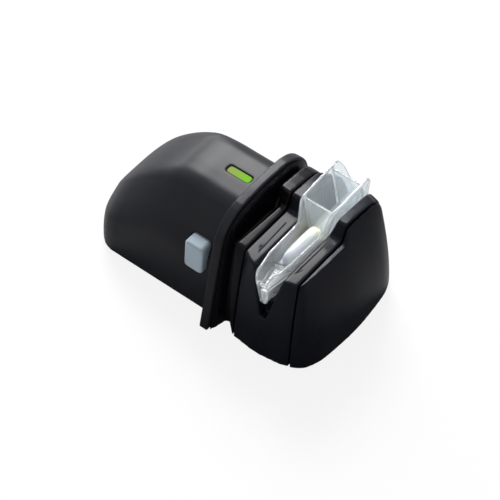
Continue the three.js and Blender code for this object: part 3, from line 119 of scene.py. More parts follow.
class Tree:
    """A node tree under construction, with short ways to add and link nodes."""

    def __init__(self, tree: bpy.types.NodeTree) -> None:
        """Takes over a tree and empties it.

        Args:
            tree: the node tree of a material, a world or a group.
        """
        self.tree = tree
        self.tree.nodes.clear()

    def add(self, kind: str, **settings: object) -> bpy.types.Node:
        """Adds a node.

        Args:
            kind: the node's type name.
            settings: properties of the node.

        Returns:
            The new node.
        """
        node = self.tree.nodes.new(kind)
        for name, value in settings.items():
            setattr(node, name, value)
        return node

    def link(self, source: bpy.types.NodeSocket, target: bpy.types.NodeSocket) -> None:
        """Joins two sockets."""
        self.tree.links.new(source, target)

    def feed(self, value: object, socket: bpy.types.NodeSocket) -> None:
        """Links a socket to an input, or sets the input's own value.

        Args:
            value: a socket, a number, a colour or a vector.
            socket: the input.
        """
        if isinstance(value, bpy.types.NodeSocket):
            self.link(value, socket)
        elif isinstance(value, tuple) and socket.type == "RGBA":
            socket.default_value = (*value, 1.0)
        else:
            socket.default_value = value

    def fill(self, node: bpy.types.Node, values: dict[str, object]) -> None:
        """Feeds several inputs of a node, by their names."""
        for name, value in values.items():
            self.feed(value, node.inputs[name])

    def math(self, operation: str, first: object, second: object) -> bpy.types.NodeSocket:
        """Gives the result of a Math node of two sockets or numbers.

        Args:
            operation: the Math node's operation.
            first: a socket or a number.
            second: a socket or a number.

        Returns:
            The result's socket.
        """
        node = self.add("ShaderNodeMath", operation=operation)
        for value, socket in zip((first, second), node.inputs):
            self.feed(value, socket)
        return node.outputs[0]

    def mix(self, share: object, first: object, second: object) -> bpy.types.NodeSocket:
        """Gives a mix of two colours.

        Args:
            share: a socket or a number, the share of the second colour.
            first: a socket or a colour.
            second: a socket or a colour.

        Returns:
            The mixed colour's socket.
        """
        node = self.add("ShaderNodeMix", data_type="RGBA")
        for value, number in ((share, 0), (first, 6), (second, 7)):
            self.feed(value, node.inputs[number])
        return node.outputs[2]

    def blend(self, share: bpy.types.NodeSocket, first: bpy.types.Node,
              second: bpy.types.Node) -> bpy.types.Node:
        """Gives a Mix Shader of two shader nodes, with the share of the second.

        Args:
            share: the socket of the share of the second shader.
            first: a shader node.
            second: a shader node.

        Returns:
            The Mix Shader node.
        """
        node = self.add("ShaderNodeMixShader")
        for source, target in zip((share, first.outputs[0], second.outputs[0]), node.inputs):
            self.link(source, target)
        return node

    def point(self) -> bpy.types.NodeSocket:
        """Gives the point of the object that is shaded."""
        return self.add("ShaderNodeTexCoord").outputs["Object"]

    def axis(self, name: str) -> bpy.types.NodeSocket:
        """Gives one coordinate of the point that is shaded.

        Args:
            name: X, Y or Z.

        Returns:
            The coordinate's socket.
        """
        split = self.add("ShaderNodeSeparateXYZ")
        self.link(self.point(), split.inputs[0])
        return split.outputs[name]

    def ramp(self, value: bpy.types.NodeSocket, low: float, high: float) -> bpy.types.NodeSocket:
        """Gives how far a value has come from a low to a high one, from 0 to 1.

        Args:
            value: the value's socket.
            low: where the ramp starts.
            high: where it ends.

        Returns:
            The ramp's socket.
        """
        node = self.add("ShaderNodeMapRange")
        self.fill(node, {"Value": value, "From Min": low, "From Max": high})
        return node.outputs[0]

    def noise(self, point: bpy.types.NodeSocket, **values: object) -> bpy.types.NodeSocket:
        """Gives a noise.

        Args:
            point: where it is read.
            values: the noise's other inputs, a socket or a number each.

        Returns:
            The noise's socket, which runs from 0 to 1.
        """
        node = self.add("ShaderNodeTexNoise")
        self.link(point, node.inputs["Vector"])
        self.fill(node, {name.title(): value for name, value in values.items()})
        return node.outputs[0]

    def wander(self, mean: object, noise: bpy.types.NodeSocket,
               spread: object) -> bpy.types.NodeSocket:
        """Gives a value that wanders about its mean with a noise."""
        centred = self.math("SUBTRACT", noise, 0.5)
        return self.math("ADD", mean, self.math("MULTIPLY", centred, spread))

    def looked_at(self) -> bpy.types.NodeSocket:
        """Gives 1 where something is looked at, directly or through clear plastic.

        Returns:
            The mask's socket.
        """
        path = self.add("ShaderNodeLightPath")
        return self.math("MAXIMUM", path.outputs["Is Camera Ray"],
                         path.outputs["Is Transmission Ray"])

    def mirrored(self) -> bpy.types.NodeSocket:
        """Gives 1 where something is seen in a reflection."""
        return self.add("ShaderNodeLightPath").outputs["Is Glossy Ray"]


@dataclass(frozen=True)
class Effect:
    """A shader effect that several finishes share, kept as one node group.

    Attributes:
        name: the group's name.
        inputs: name, default, least and most of each number it takes.
        outputs: the names of the values it gives.
        build: the function that fills the group.
    """

    name: str
    inputs: tuple[tuple[str, float, float, float], ...]
    outputs: tuple[str, ...]
    build: Callable[[Tree, bpy.types.Node, bpy.types.Node], None]

    def group(self) -> bpy.types.NodeTree:
        """Gives the node group, made on the first call.

        Returns:
            The group.
        """
        made = bpy.data.node_groups.get(self.name)
        if made is not None:
            return made
        made = bpy.data.node_groups.new(self.name, "ShaderNodeTree")
        for name, default, least, most in self.inputs:
            socket = made.interface.new_socket(name, in_out="INPUT", socket_type="NodeSocketFloat")
            socket.default_value = default
            socket.min_value = least
            socket.max_value = most
        for name in self.outputs:
            made.interface.new_socket(name, in_out="OUTPUT", socket_type="NodeSocketFloat")
        tree = Tree(made)
        entry = tree.add("NodeGroupInput")
        leave = tree.add("NodeGroupOutput")
        self.build(tree, entry, leave)
        return made

    def place(self, tree: Tree, **values: float) -> bpy.types.Node:
        """Puts the effect into a material.

        Args:
            tree: the material's tree.
            values: the effect's numbers, by name with _ for a space.

        Returns:
            The group node.
        """
        node = tree.add("ShaderNodeGroup")
        node.node_tree = self.group()
        for name, value in values.items():
            node.inputs[name.replace("_", " ").title()].default_value = value
        return node


def build_grain(tree: Tree, entry: bpy.types.Node, leave: bpy.types.Node) -> None:
    """Fills the moulded grain: fine relief, cloudy gloss and a slow change of shade.

    Args:
        tree: the group's tree.
        entry: the node that brings the group's numbers in.
        leave: the node that takes its results.
    """
    point, scale = tree.point(), entry.outputs["Scale"]
    fine = tree.noise(point, scale=scale, detail=4.0, roughness=0.65)
    cloud = tree.noise(point, scale=tree.math("MULTIPLY", scale, 0.035), detail=3.0)
    tree.fill(leave, {
        "Height": tree.math("MULTIPLY", fine, entry.outputs["Relief"]),
        "Shade": cloud,
        "Roughness": tree.wander(entry.outputs["Roughness"], cloud,
                                 entry.outputs["Gloss Spread"]),
    })


def build_wear(tree: Tree, entry: bpy.types.Node, leave: bpy.types.Node) -> None:
    """Fills the edge wear: convex edges, broken up by a coarse pattern.

    Args:
        tree: the group's tree.
        entry: the node that brings the group's numbers in.
        leave: the node that takes its results.
    """
    pointed = tree.add("ShaderNodeNewGeometry").outputs["Pointiness"]
    noise = tree.noise(tree.point(), scale=180.0, detail=5.0)
    broken = tree.math("MULTIPLY", tree.ramp(pointed, 0.515, 0.6), noise)
    tree.fill(leave, {"Mask": tree.math("MULTIPLY", broken, entry.outputs["Amount"])})


def build_brushing(tree: Tree, entry: bpy.types.Node, leave: bpy.types.Node) -> None:
    """Fills the drawn or turned marks of metal: noise stretched along the shaft's line.

    Args:
        tree: the group's tree.
        entry: the node that brings the group's numbers in.
        leave: the node that takes its results.
    """
    stretch = tree.add("ShaderNodeMapping")
    tree.fill(stretch, {"Vector": tree.point(), "Scale": (1.0, 0.06, 1.0)})
    marks = tree.noise(stretch.outputs[0], scale=entry.outputs["Scale"], detail=3.0)
    tree.fill(leave, {
        "Height": tree.math("MULTIPLY", marks, entry.outputs["Relief"]),
        "Roughness": tree.wander(entry.outputs["Roughness"], marks, 0.25),
    })


GRAIN = Effect(
    "moulded_grain",
    (("Scale", 1500.0, 1.0, 9000.0), ("Relief", 0.05, 0.0, 1.0), ("Roughness", 0.5, 0.0, 1.0),
     ("Gloss Spread", 0.1, 0.0, 1.0)),
    ("Height", "Shade", "Roughness"),
    build_grain,
)
WEAR = Effect("edge_wear", (("Amount", 0.3, 0.0, 1.0),), ("Mask",), build_wear)
BRUSHING = Effect(
    "brushed_marks",
    (("Scale", 2500.0, 1.0, 9000.0), ("Relief", 0.05, 0.0, 1.0), ("Roughness", 0.3, 0.0, 1.0)),
    ("Height", "Roughness"),
    build_brushing,
)


# ---------------------------------------------------------------- finishes


def new_material(name: str) -> tuple[bpy.types.Material, Tree, bpy.types.Node]:
    """Makes a material with one Principled shader.

    Args:
        name: the material's name.

    Returns:
        The material, its tree and the shader node.
    """
    material = bpy.data.materials.new(name)
    material.use_nodes = True
    tree = Tree(material.node_tree)
    shader = tree.add("ShaderNodeBsdfPrincipled")
    out = tree.add("ShaderNodeOutputMaterial")
    tree.link(shader.outputs[0], out.inputs["Surface"])
    return material, tree, shader


def add_relief(tree: Tree, height: bpy.types.NodeSocket, depth: float,
               shader: bpy.types.Node) -> None:
    """Feeds a height through a Bump node into the shader's normal.

    Args:
        tree: the material's tree.
        height: the height's socket.
        depth: the bump's distance in metres.
        shader: the Principled shader.
    """
    bump = tree.add("ShaderNodeBump")
    tree.fill(bump, {"Strength": 1.0, "Distance": depth, "Height": height})
    tree.link(bump.outputs[0], shader.inputs["Normal"])


@dataclass(frozen=True)
class MouldedPlastic:
    """Opaque moulded plastic.

    Attributes:
        name: the material's name.
        colour: its main colour.
        shade: the colour that the slow clouding turns to.
        worn: the colour of its rubbed edges.
        roughness: the mean roughness.
        grain: the mould's texture.
        specular: the strength of its plain reflection.
        wear: how much of its edges is rubbed.
        spread: how far the roughness wanders.
    """

    name: str
    colour: Colour
    shade: Colour
    worn: Colour
    roughness: float
    grain: Grain = Grain.SATIN
    specular: float = 0.5
    wear: float = 0.25
    spread: float = 0.08

    def material(self) -> bpy.types.Material:
        """Builds the material.

        Returns:
            The material.
        """
        material, tree, shader = new_material(self.name)
        scale, relief = self.grain.value
        grain = GRAIN.place(tree, scale=scale, relief=relief, roughness=self.roughness,
                            gloss_spread=self.spread)
        wear = WEAR.place(tree, amount=self.wear)
        clouded = tree.mix(grain.outputs["Shade"], self.colour, self.shade)
        tree.fill(shader, {
            "Base Color": tree.mix(wear.outputs["Mask"], clouded, self.worn),
            "Roughness": grain.outputs["Roughness"],
            "Specular IOR Level": self.specular,
        })
        add_relief(tree, grain.outputs["Height"], 0.4 * MM, shader)
        return material


@dataclass(frozen=True)
class ClearPlastic:
    """Clear or milky plastic that light passes through.

    Attributes:
        name: the material's name.
        colour: the tint of what passes.
        shade: the tint where it is thick or yellowed.
        turn: the two stations along X between which the colour turns to the shade.
        roughness: its roughness.
        transmission: the share that passes.
        milk: the share of light scattered under the surface.
        depth: how deep it is scattered.
        ior: the index of refraction.
    """

    name: str
    colour: Colour
    shade: Colour
    turn: tuple[float, float]
    roughness: float
    transmission: float
    milk: float = 0.0
    depth: float = 6 * MM
    ior: float = 1.49

    def material(self) -> bpy.types.Material:
        """Builds the material.

        Returns:
            The material.
        """
        material, tree, shader = new_material(self.name)
        turned = tree.ramp(tree.axis("X"), *self.turn)
        grain = GRAIN.place(tree, scale=600.0, relief=0.02, roughness=self.roughness,
                            gloss_spread=0.06)
        tree.fill(shader, {
            "Base Color": tree.mix(turned, self.colour, self.shade),
            "Roughness": grain.outputs["Roughness"],
            "IOR": self.ior,
            "Transmission Weight": self.transmission,
        })
        add_relief(tree, grain.outputs["Height"], 0.15 * MM, shader)
        if self.transmission:
            self.let_light_through(tree, shader)
        if self.milk:
            tree.fill(shader, {"Subsurface Weight": self.milk, "Subsurface Scale": self.depth,
                               "Subsurface Radius": (1.0, 0.9, 0.7)})
        return material

    def let_light_through(self, tree: Tree, shader: bpy.types.Node) -> None:
        """Lets the lamps' light pass to what lies behind.

        Args:
            tree: the material's tree.
            shader: its Principled shader.
        """
        out = next(node for node in tree.tree.nodes if node.type == "OUTPUT_MATERIAL")
        shadow = tree.add("ShaderNodeLightPath").outputs["Is Shadow Ray"]
        both = tree.blend(shadow, shader, tree.add("ShaderNodeBsdfTransparent"))
        tree.link(both.outputs[0], out.inputs["Surface"])


@dataclass(frozen=True)
class LitWindow:
    """The tinted indicator window, lit from below and brighter at one end.

    Attributes:
        name: the material's name.
        near: its colour at the end over the lamp.
        far: its colour at the other end.
        stations: where the one turns into the other, along Y.
        glow: the strength of the light.
    """

    name: str
    near: Colour
    far: Colour
    stations: tuple[float, float]
    glow: float

    def material(self) -> bpy.types.Material:
        """Builds the material.

        Returns:
            The material.
        """
        material, tree, shader = new_material(self.name)
        colour = tree.mix(tree.ramp(tree.axis("Y"), *self.stations), self.near, self.far)
        grain = GRAIN.place(tree, scale=500.0, relief=0.02, roughness=0.3, gloss_spread=0.05)
        tree.fill(shader, {
            "Base Color": colour,
            "Emission Color": colour,
            "Emission Strength": self.glow,
            "Specular IOR Level": 0.02,
            "Roughness": grain.outputs["Roughness"],
        })
        return material


@dataclass(frozen=True)
class Metal:
    """Bare or plated metal with drawn or turned marks.

    Attributes:
        name: the material's name.
        colour: its colour.
        shade: the colour of its dull patches.
        roughness: the mean roughness.
        scale: the scale of the marks.
        relief: the height of the marks.
    """

    name: str
    colour: Colour
    shade: Colour
    roughness: float
    scale: float = 2500.0
    relief: float = 0.05

    def material(self) -> bpy.types.Material:
        """Builds the material.

        Returns:
            The material.
        """
        material, tree, shader = new_material(self.name)
        marks = BRUSHING.place(tree, scale=self.scale, relief=self.relief, roughness=self.roughness)
        patches = GRAIN.place(tree, scale=900.0, relief=0.0, roughness=0.5, gloss_spread=0.0)
        tree.fill(shader, {
            "Base Color": tree.mix(patches.outputs["Shade"], self.colour, self.shade),
            "Roughness": marks.outputs["Roughness"],
            "Metallic": 1.0,
        })
        add_relief(tree, marks.outputs["Height"], 0.2 * MM, shader)
        return material


@dataclass(frozen=True)
class DiamondGrit:
    """Metal-bonded grit: sharp grains that catch the light in a dull bond.

    Attributes:
        name: the material's name.
        bond: the colour of the bond.
        grain: the colour of the grains.
        size: the scale of the grains.
        reach: how far a grain reaches from its middle, as a share of the pattern's cell.
    """

    name: str
    bond: Colour
    grain: Colour
    size: float = 2600.0
    reach: float = 0.32

    def material(self) -> bpy.types.Material:
        """Builds the material.

        Returns:
            The material.
        """
        material, tree, shader = new_material(self.name)
        cells = tree.add("ShaderNodeTexVoronoi")
        tree.fill(cells, {"Vector": tree.point(), "Scale": self.size})
        near = tree.math("LESS_THAN", cells.outputs["Distance"], self.reach)
        tree.fill(shader, {
            "Base Color": tree.mix(near, self.bond, self.grain),
            "Roughness": tree.math("SUBTRACT", 0.75, tree.math("MULTIPLY", near, 0.4)),
            "Metallic": 0.6,
        })
        add_relief(tree, tree.math("SUBTRACT", 1.0, cells.outputs["Distance"]), 0.12 * MM, shader)
        return material


@dataclass(frozen=True)
class CellSleeve:
    """The plain two-colour sleeve of a battery cell, with its bare metal ends.

    Attributes:
        name: the material's name.
        body: the sleeve's main colour.
        band: the colour of the band at one end.
        station: where the band starts, along Y.
        way: 1 where the band is at the +Y end, -1 at the other end.
        ends: the two stations beyond which the metal is bare.
        metal: the colour of the bare metal.
    """

    name: str
    body: Colour
    band: Colour
    station: float
    way: int
    ends: tuple[float, float]
    metal: Colour = linear(196, 196, 192)

    def material(self) -> bpy.types.Material:
        """Builds the material.

        Returns:
            The material.
        """
        material, tree, shader = new_material(self.name)
        along = tree.axis("Y")
        band = tree.math("GREATER_THAN" if self.way > 0 else "LESS_THAN", along, self.station)
        bare = tree.math("MAXIMUM", tree.math("LESS_THAN", along, self.ends[0]),
                         tree.math("GREATER_THAN", along, self.ends[1]))
        grain = GRAIN.place(tree, scale=800.0, relief=0.02, roughness=0.28, gloss_spread=0.1)
        tree.fill(shader, {
            "Base Color": tree.mix(bare, tree.mix(band, self.body, self.band), self.metal),
            "Metallic": bare,
            "Roughness": grain.outputs["Roughness"],
        })
        add_relief(tree, grain.outputs["Height"], 0.1 * MM, shader)
        return material


DOME = MouldedPlastic("dome_finish", linear(28, 29, 34), linear(33, 34, 40), linear(70, 72, 76),
                      0.35, Grain.SPARKED, specular=0.15)
HEAD = MouldedPlastic("head_finish", linear(17, 18, 25), linear(21, 23, 32), linear(50, 52, 58),
                      0.22, Grain.SATIN, specular=0.1, wear=0.1)
NECK = MouldedPlastic("neck_finish", linear(11, 10, 14), linear(15, 14, 19), linear(46, 46, 52),
                      0.22, Grain.SATIN, specular=0.1, wear=0.1)
MARK = MouldedPlastic("arrow_mark", linear(14, 14, 16), linear(18, 18, 20), linear(26, 26, 28),
                      0.6, Grain.SATIN, specular=0.02, wear=0.0)
BUTTON = MouldedPlastic("button_finish", linear(172, 188, 199), linear(164, 181, 192),
                        linear(214, 224, 230), 0.42, Grain.SATIN, specular=0.1, wear=0.2)
BASE = MouldedPlastic("base_finish", linear(38, 39, 42), linear(44, 45, 48), linear(84, 85, 88),
                      0.6, Grain.SPARKED)
INNER = MouldedPlastic("inner_finish", linear(84, 88, 92), linear(94, 98, 102),
                       linear(130, 132, 134), 0.55, Grain.SATIN)
NYLON = MouldedPlastic("nylon_finish", linear(228, 224, 212), linear(216, 211, 196),
                       linear(240, 238, 230), 0.45, Grain.SATIN, spread=0.15)
RUBBER = MouldedPlastic("rubber_finish", linear(28, 28, 29), linear(36, 36, 37), linear(70, 70, 70),
                        0.85, Grain.CAST, specular=0.3)
BOARD = MouldedPlastic("board_green_finish", linear(28, 108, 62), linear(20, 92, 52),
                       linear(150, 168, 120), 0.38, Grain.POLISHED)
CLEAR = ClearPlastic("clear_finish", linear(248, 252, 254), linear(244, 250, 253),
                     (-0.04, 0.038), 0.12, 0.85)
CREAM = ClearPlastic("cream_finish", linear(255, 254, 249), linear(240, 226, 170),
                     (-0.016, 0.004), 0.3, 0.0, milk=1.0)
WINDOW = LitWindow("lens_finish", linear(102, 172, 6), linear(128, 142, 70),
                   (-0.0085, 0.0035), 0.12)
STEEL = Metal("steel_finish", linear(196, 198, 202), linear(168, 170, 174), 0.28)
CAN = Metal("can_steel_finish", linear(188, 190, 194), linear(160, 163, 168), 0.34, 1600.0)
BRONZE = Metal("bronze_finish", linear(178, 142, 86), linear(146, 112, 64), 0.42, 1200.0, 0.1)
CORE = Metal("core_iron_finish", linear(142, 112, 92), linear(104, 84, 72), 0.5, 4200.0, 0.3)
GRIT = DiamondGrit("abrasive_finish", linear(112, 113, 114), linear(214, 214, 208))


Finish = MouldedPlastic | ClearPlastic | LitWindow | Metal | DiamondGrit | CellSleeve


@cache
def finished(finish: Finish) -> bpy.types.Material:
    """Gives a finish's material, made on the first call."""
    return finish.material()


# ---------------------------------------------------------------- meshes and pieces


@dataclass(frozen=True)
class Rounding:
    """How the corners of a moulding are rounded.

    Attributes:
        width: the rounding's width.
        segments: faces across the rounding.
        corner: the least angle between two faces that makes a corner, in degrees.
    """

    width: float
    segments: int = 3
    corner: float = 32.0


def settle(piece: bpy.types.Object, form: bmesh.types.BMesh, reach: float) -> None:
    """Moves the faces of a piece that lie close to a form onto it, and keeps the result.

    Args:
        piece: the piece, with the steps that come before as its modifiers.
        form: the form, which is used up.
        reach: how far a point may move.
    """
    data = bpy.data.meshes.new("form")
    form.to_mesh(data)
    form.free()
    helper = bpy.data.objects.new("form", data)
    bpy.context.scene.collection.objects.link(helper)
    onto = piece.modifiers.new("onto_form", "SHRINKWRAP")
    onto.target = helper
    onto.wrap_method = "PROJECT"
    onto.use_negative_direction = True
    onto.use_positive_direction = True
    onto.project_limit = reach
    seen = bpy.context.evaluated_depsgraph_get()
    seen.update()
    settled = bpy.data.meshes.new_from_object(piece.evaluated_get(seen))
    old = piece.data
    piece.modifiers.clear()
    piece.data = settled
    settled.name = piece.name
    bpy.data.meshes.remove(old)
    bpy.data.objects.remove(helper)
    bpy.data.meshes.remove(data)


@dataclass(frozen=True)
class Softening:
    """How a shell is cast anew with evenly rounded edges.

    Attributes:
        cell: the size of its even faces before they are thinned out.
        passes: rounds of smoothing, which set the radius of the edges.
        kept: the share of faces that is kept afterwards.
        reach: how far a face may move to settle on a form.
    """

    cell: float
    passes: int
    kept: float
    reach: float = 0.4 * MM

    def add_to(self, piece: bpy.types.Object, form: bmesh.types.BMesh | None = None) -> None:
        """Adds the steps to a piece.

        Args:
            piece: the piece, which already has its mesh.
            form: the smooth form that the outside of the piece settles on, which is used up.
        """
        even = piece.modifiers.new("even_faces", "REMESH")
        even.mode = "VOXEL"
        even.voxel_size = self.cell
        even.use_smooth_shade = True
        if form:
            settle(piece, form, self.reach)
        smooth = piece.modifiers.new("rounded_edges", "SMOOTH")
        smooth.factor = 0.5
        smooth.iterations = self.passes
        thin = piece.modifiers.new("fewer_faces", "DECIMATE")
        thin.ratio = self.kept


def merged_copy(node: str, joined: bool) -> bmesh.types.BMesh:
    """Copies a node's surface with its points merged.

    Args:
        node: the node's name.
        joined: whether its flat faces are joined too.

    Returns:
        The copy.
    """
    mesh = bmesh.new()
    mesh.from_mesh(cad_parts[node].data)
    bmesh.ops.remove_doubles(mesh, verts=mesh.verts, dist=WELD)
    bmesh.ops.dissolve_degenerate(mesh, dist=WELD, edges=mesh.edges)
    if joined:
        bmesh.ops.dissolve_limit(mesh, angle_limit=math.radians(1.0), verts=mesh.verts,
                                 edges=mesh.edges, use_dissolve_boundaries=False)
    return mesh


def round_corners(mesh: bmesh.types.BMesh, rounding: Rounding) -> None:
    """Rounds the outward corners of a closed mesh.

    Args:
        mesh: the mesh, changed in place.
        rounding: the width, segments and least angle.
    """
    least = math.radians(rounding.corner)
    corners = [edge for edge in mesh.edges
               if edge.is_manifold and edge.calc_face_angle_signed(0.0) > least
               and edge.calc_length() > rounding.width / 4]
    bmesh.ops.bevel(mesh, geom=corners, offset=rounding.width, offset_type="OFFSET",
                    segments=rounding.segments, profile=0.5, affect="EDGES", material=-1,
                    clamp_overlap=True)


def finish_piece(name: str, mesh: bmesh.types.BMesh, material: bpy.types.Material,
                 body: Body, nodes: Sequence[str] = (),
                 soft: Softening | None = None,
                 form: bmesh.types.BMesh | None = None) -> bpy.types.Object:
    """Turns a mesh into a piece of the sharpener.

    Args:
        name: the piece's name.
        mesh: its mesh, in place in the frame.
        material: its material.
        body: the body it rides on.
        nodes: the nodes that it stands for.
        soft: how its edges are rounded, where the mesh itself keeps them sharp.
        form: the smooth form that its outside settles on.

    Returns:
        The piece.
    """
    data = bpy.data.meshes.new(name)
    for face in mesh.faces:
        face.smooth = True
    for edge in mesh.edges:
        edge.smooth = not edge.is_manifold or edge.calc_face_angle(0.0) < SHARP_EDGE
    mesh.to_mesh(data)
    mesh.free()
    piece = bpy.data.objects.new(name, data)
    bpy.context.scene.collection.objects.link(piece)
    data.materials.append(material)
    if soft:
        soft.add_to(piece, form)
    else:
        weighted = piece.modifiers.new("even_shading", "WEIGHTED_NORMAL")
        weighted.keep_sharp = True
        weighted.weight = 60
    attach(piece, body.value)
    if nodes:
        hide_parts(*nodes)
    LOG.info("%s: %d faces on %s", name, len(piece.data.polygons), body.value)
    return piece


def dress(nodes: Iterable[str], finish: Finish) -> None:
    """Gives frame nodes a finish.

    Args:
        nodes: the nodes' names.
        finish: their finish.
    """
    material = finished(finish)
    for name in nodes:
        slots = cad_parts[name].data.materials
        if not slots:
            slots.append(material)
        for i in range(len(slots)):
            slots[i] = material
        LOG.info("%s: finished as %s", name, finish.name)


def mix(first: float, second: float, share: float) -> float:
    """Gives the value a share of the way from the first to the second."""
    return first + (second - first) * share


def along_line(line: Sequence[tuple[float, float]], at: float) -> float:
    """Reads a line of points at a station.

    Args:
        line: points of station and value, in rising order.
        at: the station.

    Returns:
        The value there.
    """
    for (a, low), (b, high) in zip(line, line[1:]):
        if at <= b:
            return mix(low, high, (at - a) / (b - a))
    return line[-1][1]


def skin(mesh: bmesh.types.BMesh, rows: Sequence[Sequence[Vector]], closed: bool = False) -> None:
    """Covers rows of points with four-sided faces.

    Args:
        mesh: the mesh that gets them.
        rows: the rows, all of one length.
        closed: whether each row is a closed ring.
    """
    made = [[mesh.verts.new(point) for point in row] for row in rows]
    count = len(rows[0])
    for first, second in zip(made, made[1:]):
        for i in range(count if closed else count - 1):
            j = (i + 1) % count
            mesh.faces.new((first[i], first[j], second[j], second[i]))


def slab(mesh: bmesh.types.BMesh, outline: Sequence[Vector], reach: Vector) -> None:
    """Adds a closed slab.

    Args:
        mesh: the mesh that gets it.
        outline: the points of its near face.
        reach: the way to its far face.
    """
    face = mesh.faces.new([mesh.verts.new(point) for point in outline])
    far = bmesh.ops.extrude_face_region(mesh, geom=[face])["geom"]
    bmesh.ops.translate(mesh, vec=reach,
                        verts=[part for part in far if isinstance(part, bmesh.types.BMVert)])
    bmesh.ops.reverse_faces(mesh, faces=[face])


def smooth_line(points: Sequence[Sequence[float]], per: int) -> list[tuple[float, ...]]:
    """Runs a smooth curve through points, without overshoot where their spacing changes.

    Args:
        points: the points that the curve passes through.
        per: how many steps there are between two of them.

    Returns:
        The points of the curve.
    """
    knots = [Vector(point) for point in points]
    gaps = [max((b - a).length, 1e-9) for a, b in zip(knots, knots[1:])]
    ways = [(b - a) / gap for a, b, gap in zip(knots, knots[1:], gaps)]
    turns = [ways[0]]
    for i in range(1, len(ways)):
        share = gaps[i - 1] / (gaps[i - 1] + gaps[i])
        turns.append(ways[i - 1].lerp(ways[i], share))
    turns.append(ways[-1])
    curve = []
    for i, gap in enumerate(gaps):
        for step in range(per):
            t = step / per
            first, second = knots[i], knots[i + 1]
            point = ((2 * t**3 - 3 * t**2 + 1) * first + (t**3 - 2 * t**2 + t) * gap * turns[i]
                     + (3 * t**2 - 2 * t**3) * second + (t**3 - t**2) * gap * turns[i + 1])
            curve.append(tuple(point))
    curve.append(tuple(knots[-1]))
    return curve


def left_after(run: float, power: float) -> float:
    """Gives the share of a width that is left after a share of the way to a rounded end."""
    run = min(1.0, max(0.0, run))
    return (1 - run**power) ** (1 / power)


@dataclass
class DomeForm:
    """The smooth outside of the dome.

    Attributes:
        half: half its width at the foot.
        height: its height over the foot.
        front: where it starts, at the guard's front.
        long: its length from there.
        foot: the level it stands on.
        section: its section, as shares of half width and height.
        plan: where it starts to narrow, and how roundly.
        drop: where it starts to drop, and how roundly.
        stations: the stations that the form runs through, as shares of its length.
        steps: how many steps there are between two of its points, both ways.
    """

    half: float = 37.2 * MM
    height: float = 63.9 * MM
    front: float = -18.25 * MM
    long: float = 93.7 * MM
    foot: float = 0.8 * MM
    section: tuple[tuple[float, float], ...] = (
        (1, 0), (0.985, 0.19), (0.955, 0.375), (0.895, 0.56), (0.79, 0.69), (0.66, 0.81),
        (0.545, 0.905), (0.46, 0.963), (0.36, 0.988), (0.18, 0.998), (0, 1))
    plan: tuple[float, float] = (71.5 * MM, 1.61)
    drop: tuple[float, float] = (37.4 * MM, 1.39)
    stations: tuple[float, ...] = (0, 0.1, 0.22, 0.36, 0.45, 0.54, 0.62, 0.69, 0.75, 0.8, 0.85,
                                   0.89, 0.925, 0.95, 0.97, 0.985, 0.995, 0.9995)
    steps: int = 5

    def left(self, y: float, start: float, power: float) -> float:
        """Gives the share of width or height left at a distance from the front."""
        return left_after((y - start) / (self.long - start), power)

    def build(self) -> bmesh.types.BMesh:
        """Builds the form.

        Returns:
            The form's open surface.
        """
        right = [(x * self.half, z * self.height) for x, z in self.section]
        line = smooth_line(right + [(-x, z) for x, z in reversed(right[:-1])], self.steps)
        rings = []
        for share in self.stations:
            y = share * self.long
            rings.append((y, self.half * self.left(y, *self.plan),
                          self.height * self.left(y, *self.drop)))
        rows = []
        for y, wide, high in smooth_line(rings, self.steps):
            narrow, low = wide / self.half, high / self.height
            rows.append([Vector((x * narrow, self.front + y, self.foot + z * low))
                         for x, z in line])
        mesh = bmesh.new()
        skin(mesh, rows)
        return mesh


